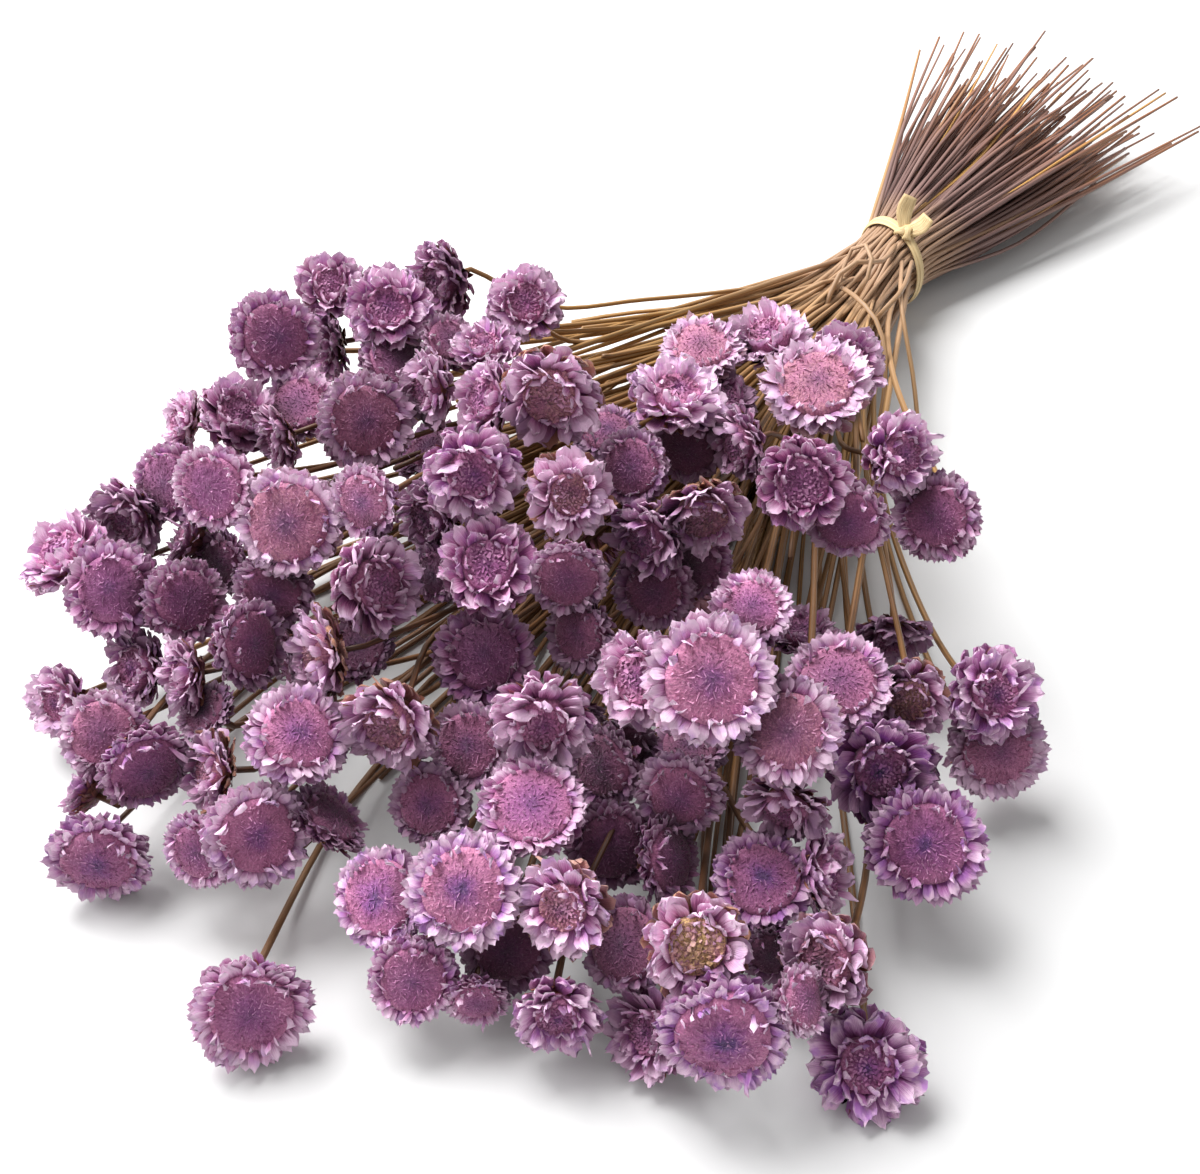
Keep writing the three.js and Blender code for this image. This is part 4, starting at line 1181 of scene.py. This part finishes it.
BRACT_BASE = rgb(0.26, 0.045, 0.19)
BRACT_ROSE = rgb(0.63, 0.215, 0.45)
BRACT_MAUVE = rgb(0.54, 0.20, 0.52)
BRACT_PALE = rgb(0.96, 0.66, 0.87)
BRACT_VIOLET = rgb(0.42, 0.13, 0.57)
DISC_SALMON = rgb(0.49, 0.165, 0.31)
DISC_MAUVE = rgb(0.33, 0.09, 0.255)
DISC_DARK = rgb(0.15, 0.035, 0.12)
DISC_FLECK = rgb(0.84, 0.44, 0.68)
DISC_VIOLET = rgb(0.26, 0.065, 0.31)
DISC_INK = rgb(0.10, 0.028, 0.19)
DISC_GOLD = rgb(0.70, 0.46, 0.17)
DISC_OCHRE = rgb(0.26, 0.14, 0.05)
CALYX_RUST = rgb(0.22, 0.06, 0.035)
CALYX_TAN = rgb(0.55, 0.26, 0.15)
CALYX_ROSE = rgb(0.44, 0.15, 0.28)


def bract_finish(streaks, shading):
    """Papery bracts: purple at the base, pale at the tip, with veins and a painted shade along their
    sides; the outer ones may be rusty.
    """
    mat = Finish("papery_bract")
    across, along, hue, tone = mat.marks("petal")
    violet, warm, pale, shade = mat.marks("head")
    veins = mat.use(streaks, Across=across, Along=along, Seed=hue, Lines=15.0, Scale=1.6)
    mottle = mat.noise(330.0)
    side = mat.math("ABSOLUTE", mat.math("MULTIPLY_ADD", across, 2.0, -1.0))
    rise = mat.added(along, veins, 0.85)
    rise = mat.added(rise, hue, 0.4)
    rise = mat.added(rise, tone, 0.5, 0.9)
    rise = mat.added(rise, pale, 0.4, 0.0)
    # Painted shade: each bract is darker towards its sides, as in the slits between neighbours
    rise = mat.added(rise, mat.math("POWER", side, 4.0), -0.12, 0.0)
    mauve = mat.mix(mat.math("MINIMUM", violet, 1.0), BRACT_ROSE, BRACT_MAUVE)
    color = mat.ramp(rise, 0.05, 0.42, BRACT_BASE, mauve)
    color = mat.ramp(rise, 0.38, 0.85, color, BRACT_PALE)
    dyed = mat.added(0.3, violet, 0.5, 0.0)
    color = mat.mix(mat.times(mat.spread(mottle, 0.5, 0.66), dyed), color, BRACT_VIOLET)
    rusty = mat.ramp(rise, 0.1, 0.7, CALYX_RUST, CALYX_TAN)
    outer = mat.times(mat.spread(tone, 0.8, 0.5), mat.spread(warm, 0.2, 0.9))
    color = mat.mix(outer, color, rusty)
    mat.set(Base_Color=mat.use(shading, Color=color, Shade=shade), Roughness=0.6,
               Subsurface_Weight=0.2, Subsurface_Scale=0.001, Subsurface_Radius=(1.0, 0.7, 0.9),
               Sheen_Weight=0.1)
    mat.bump(veins, 0.7, 0.0003)
    return mat.material


def disc_finish(shading):
    """Fine hair-like florets: salmon at the edge, mauve further in, often violet in the middle.
    The hairs are streaks that run outwards, from a noise on the way out and the share of it."""
    mat = Finish("velvety_disc")
    x, y, grain, raised = mat.marks("petal")
    violet, warm, pale, shade = mat.marks("head")
    place = mat.joined(*(mat.math("MULTIPLY_ADD", value, 2.0, -1.0) for value in (x, y)))
    share = mat.vector("LENGTH", place)
    way = mat.vector("MULTIPLY", mat.vector("NORMALIZE", place), (9.0, 9.0, 9.0))
    hairs_at = mat.vector("ADD", way, mat.joined(z=mat.times(share, 5.0)))
    hairs = mat.noise(2.2, vector=hairs_at)
    fine = mat.noise(2600.0, 2.0)
    coarse = mat.noise(420.0)
    streak = mat.math("ADD", mat.times(hairs, 0.5), mat.times(fine, 0.5))
    inward = mat.added(share, coarse, -0.7)
    rosy = mat.spread(mat.added(inward, pale, 0.6, 0.0), 0.4, 1.0)
    color = mat.mix(rosy, DISC_MAUVE, DISC_SALMON)
    core = mat.times(mat.spread(inward, 0.52, 0.14), violet)
    color = mat.mix(core, color, DISC_VIOLET)
    ink = mat.times(mat.spread(inward, 0.28, 0.08), violet)
    color = mat.mix(ink, color, DISC_INK)
    gold = mat.ramp(streak, 0.4, 0.6, DISC_OCHRE, DISC_GOLD)
    patches = mat.spread(coarse, 0.4, 0.58, 0.5, 1.0)
    color = mat.mix(mat.times(mat.spread(warm, 0.2, 2.0), patches), color, gold)
    color = mat.mix(mat.spread(streak, 0.52, 0.38, 0.0, 0.5), color, DISC_DARK)
    some = mat.spread(grain, 0.3, 1.0, 0.0, 0.55)
    tips = mat.times(mat.spread(raised, 0.4, 1.0), some)
    tips = mat.math("ADD", tips, mat.spread(streak, 0.54, 0.68, 0.0, 0.45))
    color = mat.mix(tips, color, DISC_FLECK)
    mat.set(Base_Color=mat.use(shading, Color=color, Shade=shade), Roughness=0.75, Sheen_Weight=0.2)
    mat.bump(streak, 1.0, 0.0004)
    return mat.material


def calyx_finish(streaks, shading):
    """Narrow brown scales behind a head, some of them still rosy."""
    mat = Finish("rusty_calyx")
    across, along, hue, _ = mat.marks("petal")
    streak = mat.use(streaks, Across=across, Along=along, Seed=hue, Lines=7.0, Scale=1.5)
    share = mat.added(along, streak, 0.7)
    share = mat.added(share, hue, 0.4)
    color = mat.ramp(share, 0.1, 0.9, CALYX_RUST, CALYX_TAN)
    color = mat.mix(mat.spread(hue, 0.55, 0.9, 0.0, 0.8), color, CALYX_ROSE)
    mat.set(Base_Color=mat.use(shading, Color=color, Shade=mat.marks("head")[3]), Roughness=0.6)
    mat.bump(streak, 0.5, 0.0003)
    return mat.material


STEM_GOLD = rgb(0.60, 0.34, 0.10)
STEM_OLIVE = rgb(0.28, 0.165, 0.055)
STEM_TAN = rgb(0.48, 0.31, 0.18)
STEM_FAWN = rgb(0.37, 0.23, 0.14)
STEM_MAUVE = rgb(0.16, 0.085, 0.073)
STEM_DUSK = rgb(0.22, 0.13, 0.112)
STEM_RUST = rgb(0.34, 0.13, 0.045)
STRAW_DARK = rgb(0.42, 0.28, 0.12)
STRAW_PALE = rgb(0.80, 0.62, 0.34)


def stem_finish(streaks, shading):
    """Ribbed stems: golden in front, tan at the waist, dusky mauve with rusty tips behind it."""
    mat = Finish("ribbed_stem")
    around, front, tail, hue = mat.marks("stalk")
    shade = mat.add("ShaderNodeAttribute", attribute_name="shade").outputs["Fac"]
    along = mat.times(mat.math("SUBTRACT", front, tail), 3.0)
    ribs = mat.use(streaks, Across=around, Along=along, Seed=hue, Lines=8.0, Scale=1.4)
    streak = mat.spread(ribs, 0.35, 0.65)
    color = mat.mix(streak, STEM_OLIVE, STEM_GOLD)
    waist = mat.mix(streak, STEM_FAWN, STEM_TAN)
    color = mat.ramp(front, 0.3, 0.08, color, waist)
    dusky = mat.ramp(hue, 0.25, 0.85, STEM_MAUVE, STEM_DUSK)
    dusky = mat.ramp(hue, 0.93, 0.96, dusky, STEM_GOLD)
    color = mat.ramp(tail, 0.0, 0.18, color, dusky)
    rust = mat.times(mat.spread(tail, 0.3, 0.8), mat.spread(ribs, 0.42, 0.58))
    color = mat.mix(rust, color, STEM_RUST)
    mat.set(Base_Color=mat.use(shading, Color=color, Shade=shade), Roughness=0.5)
    mat.bump(ribs, 0.6, 0.0002)
    return mat.material


def straw_finish(streaks):
    """Pale straw with long fibres."""
    mat = Finish("split_straw")
    around, along, _, hue = mat.marks("stalk")
    fibers = mat.use(streaks, Across=around, Along=along, Seed=hue, Lines=14.0, Scale=2.0)
    color = mat.ramp(fibers, 0.3, 0.7, STRAW_DARK, STRAW_PALE)
    mat.set(Base_Color=color, Roughness=0.55)
    mat.bump(fibers, 0.6, 0.0003)
    return mat.material


# The floor and the light
FLOOR_HALF = 4
FLOOR_GREY = rgb(0.62, 0.62, 0.62)
SKY_WHITE = rgb(1, 1, 1)
SKY_STRENGTH = 0.55
LIGHTS = {
    "key": {"place": turned(-0.5, 0.62, 1.2), "size": 0.8, "power": 32.5},
    "fill": {"place": turned(-1.0, 0.25, 0.8), "size": 1.0, "power": 15},
}


def add_stage():
    bm = bmesh.new()
    bmesh.ops.create_grid(bm, x_segments=1, y_segments=1, size=FLOOR_HALF)
    floor = linked("floor", mesh_from(bm, "floor"))
    finish = Finish("pale_floor")
    finish.set(Base_Color=FLOOR_GREY, Roughness=0.9)
    floor.data.materials.append(finish.material)


def add_light(name, place, size, power):
    data = bpy.data.lights.new(name, "AREA")
    data.size = size
    data.energy = power
    light = linked(name, data)
    light.location = place
    light.rotation_euler = (-place).to_track_quat("-Z", "Y").to_euler()


def add_lights():
    world = bpy.data.worlds.new("studio")
    world.use_nodes = True
    sky = world.node_tree.nodes["Background"]
    sky.inputs["Color"].default_value = SKY_WHITE
    sky.inputs["Strength"].default_value = SKY_STRENGTH
    bpy.context.scene.world = world
    for name, light in LIGHTS.items():
        add_light(name, **light)


def main():
    add_camera()
    streaks, shading = streaks_effect(), shade_effect()
    finishes = [disc_finish(shading), bract_finish(streaks, shading), calyx_finish(streaks, shading)]
    poses = add_heads(finishes)
    add_stems(poses, stem_finish(streaks, shading))
    add_tie(straw_finish(streaks))
    add_stage()
    add_lights()
    bpy.context.scene.view_settings.view_transform = "Standard"


main()
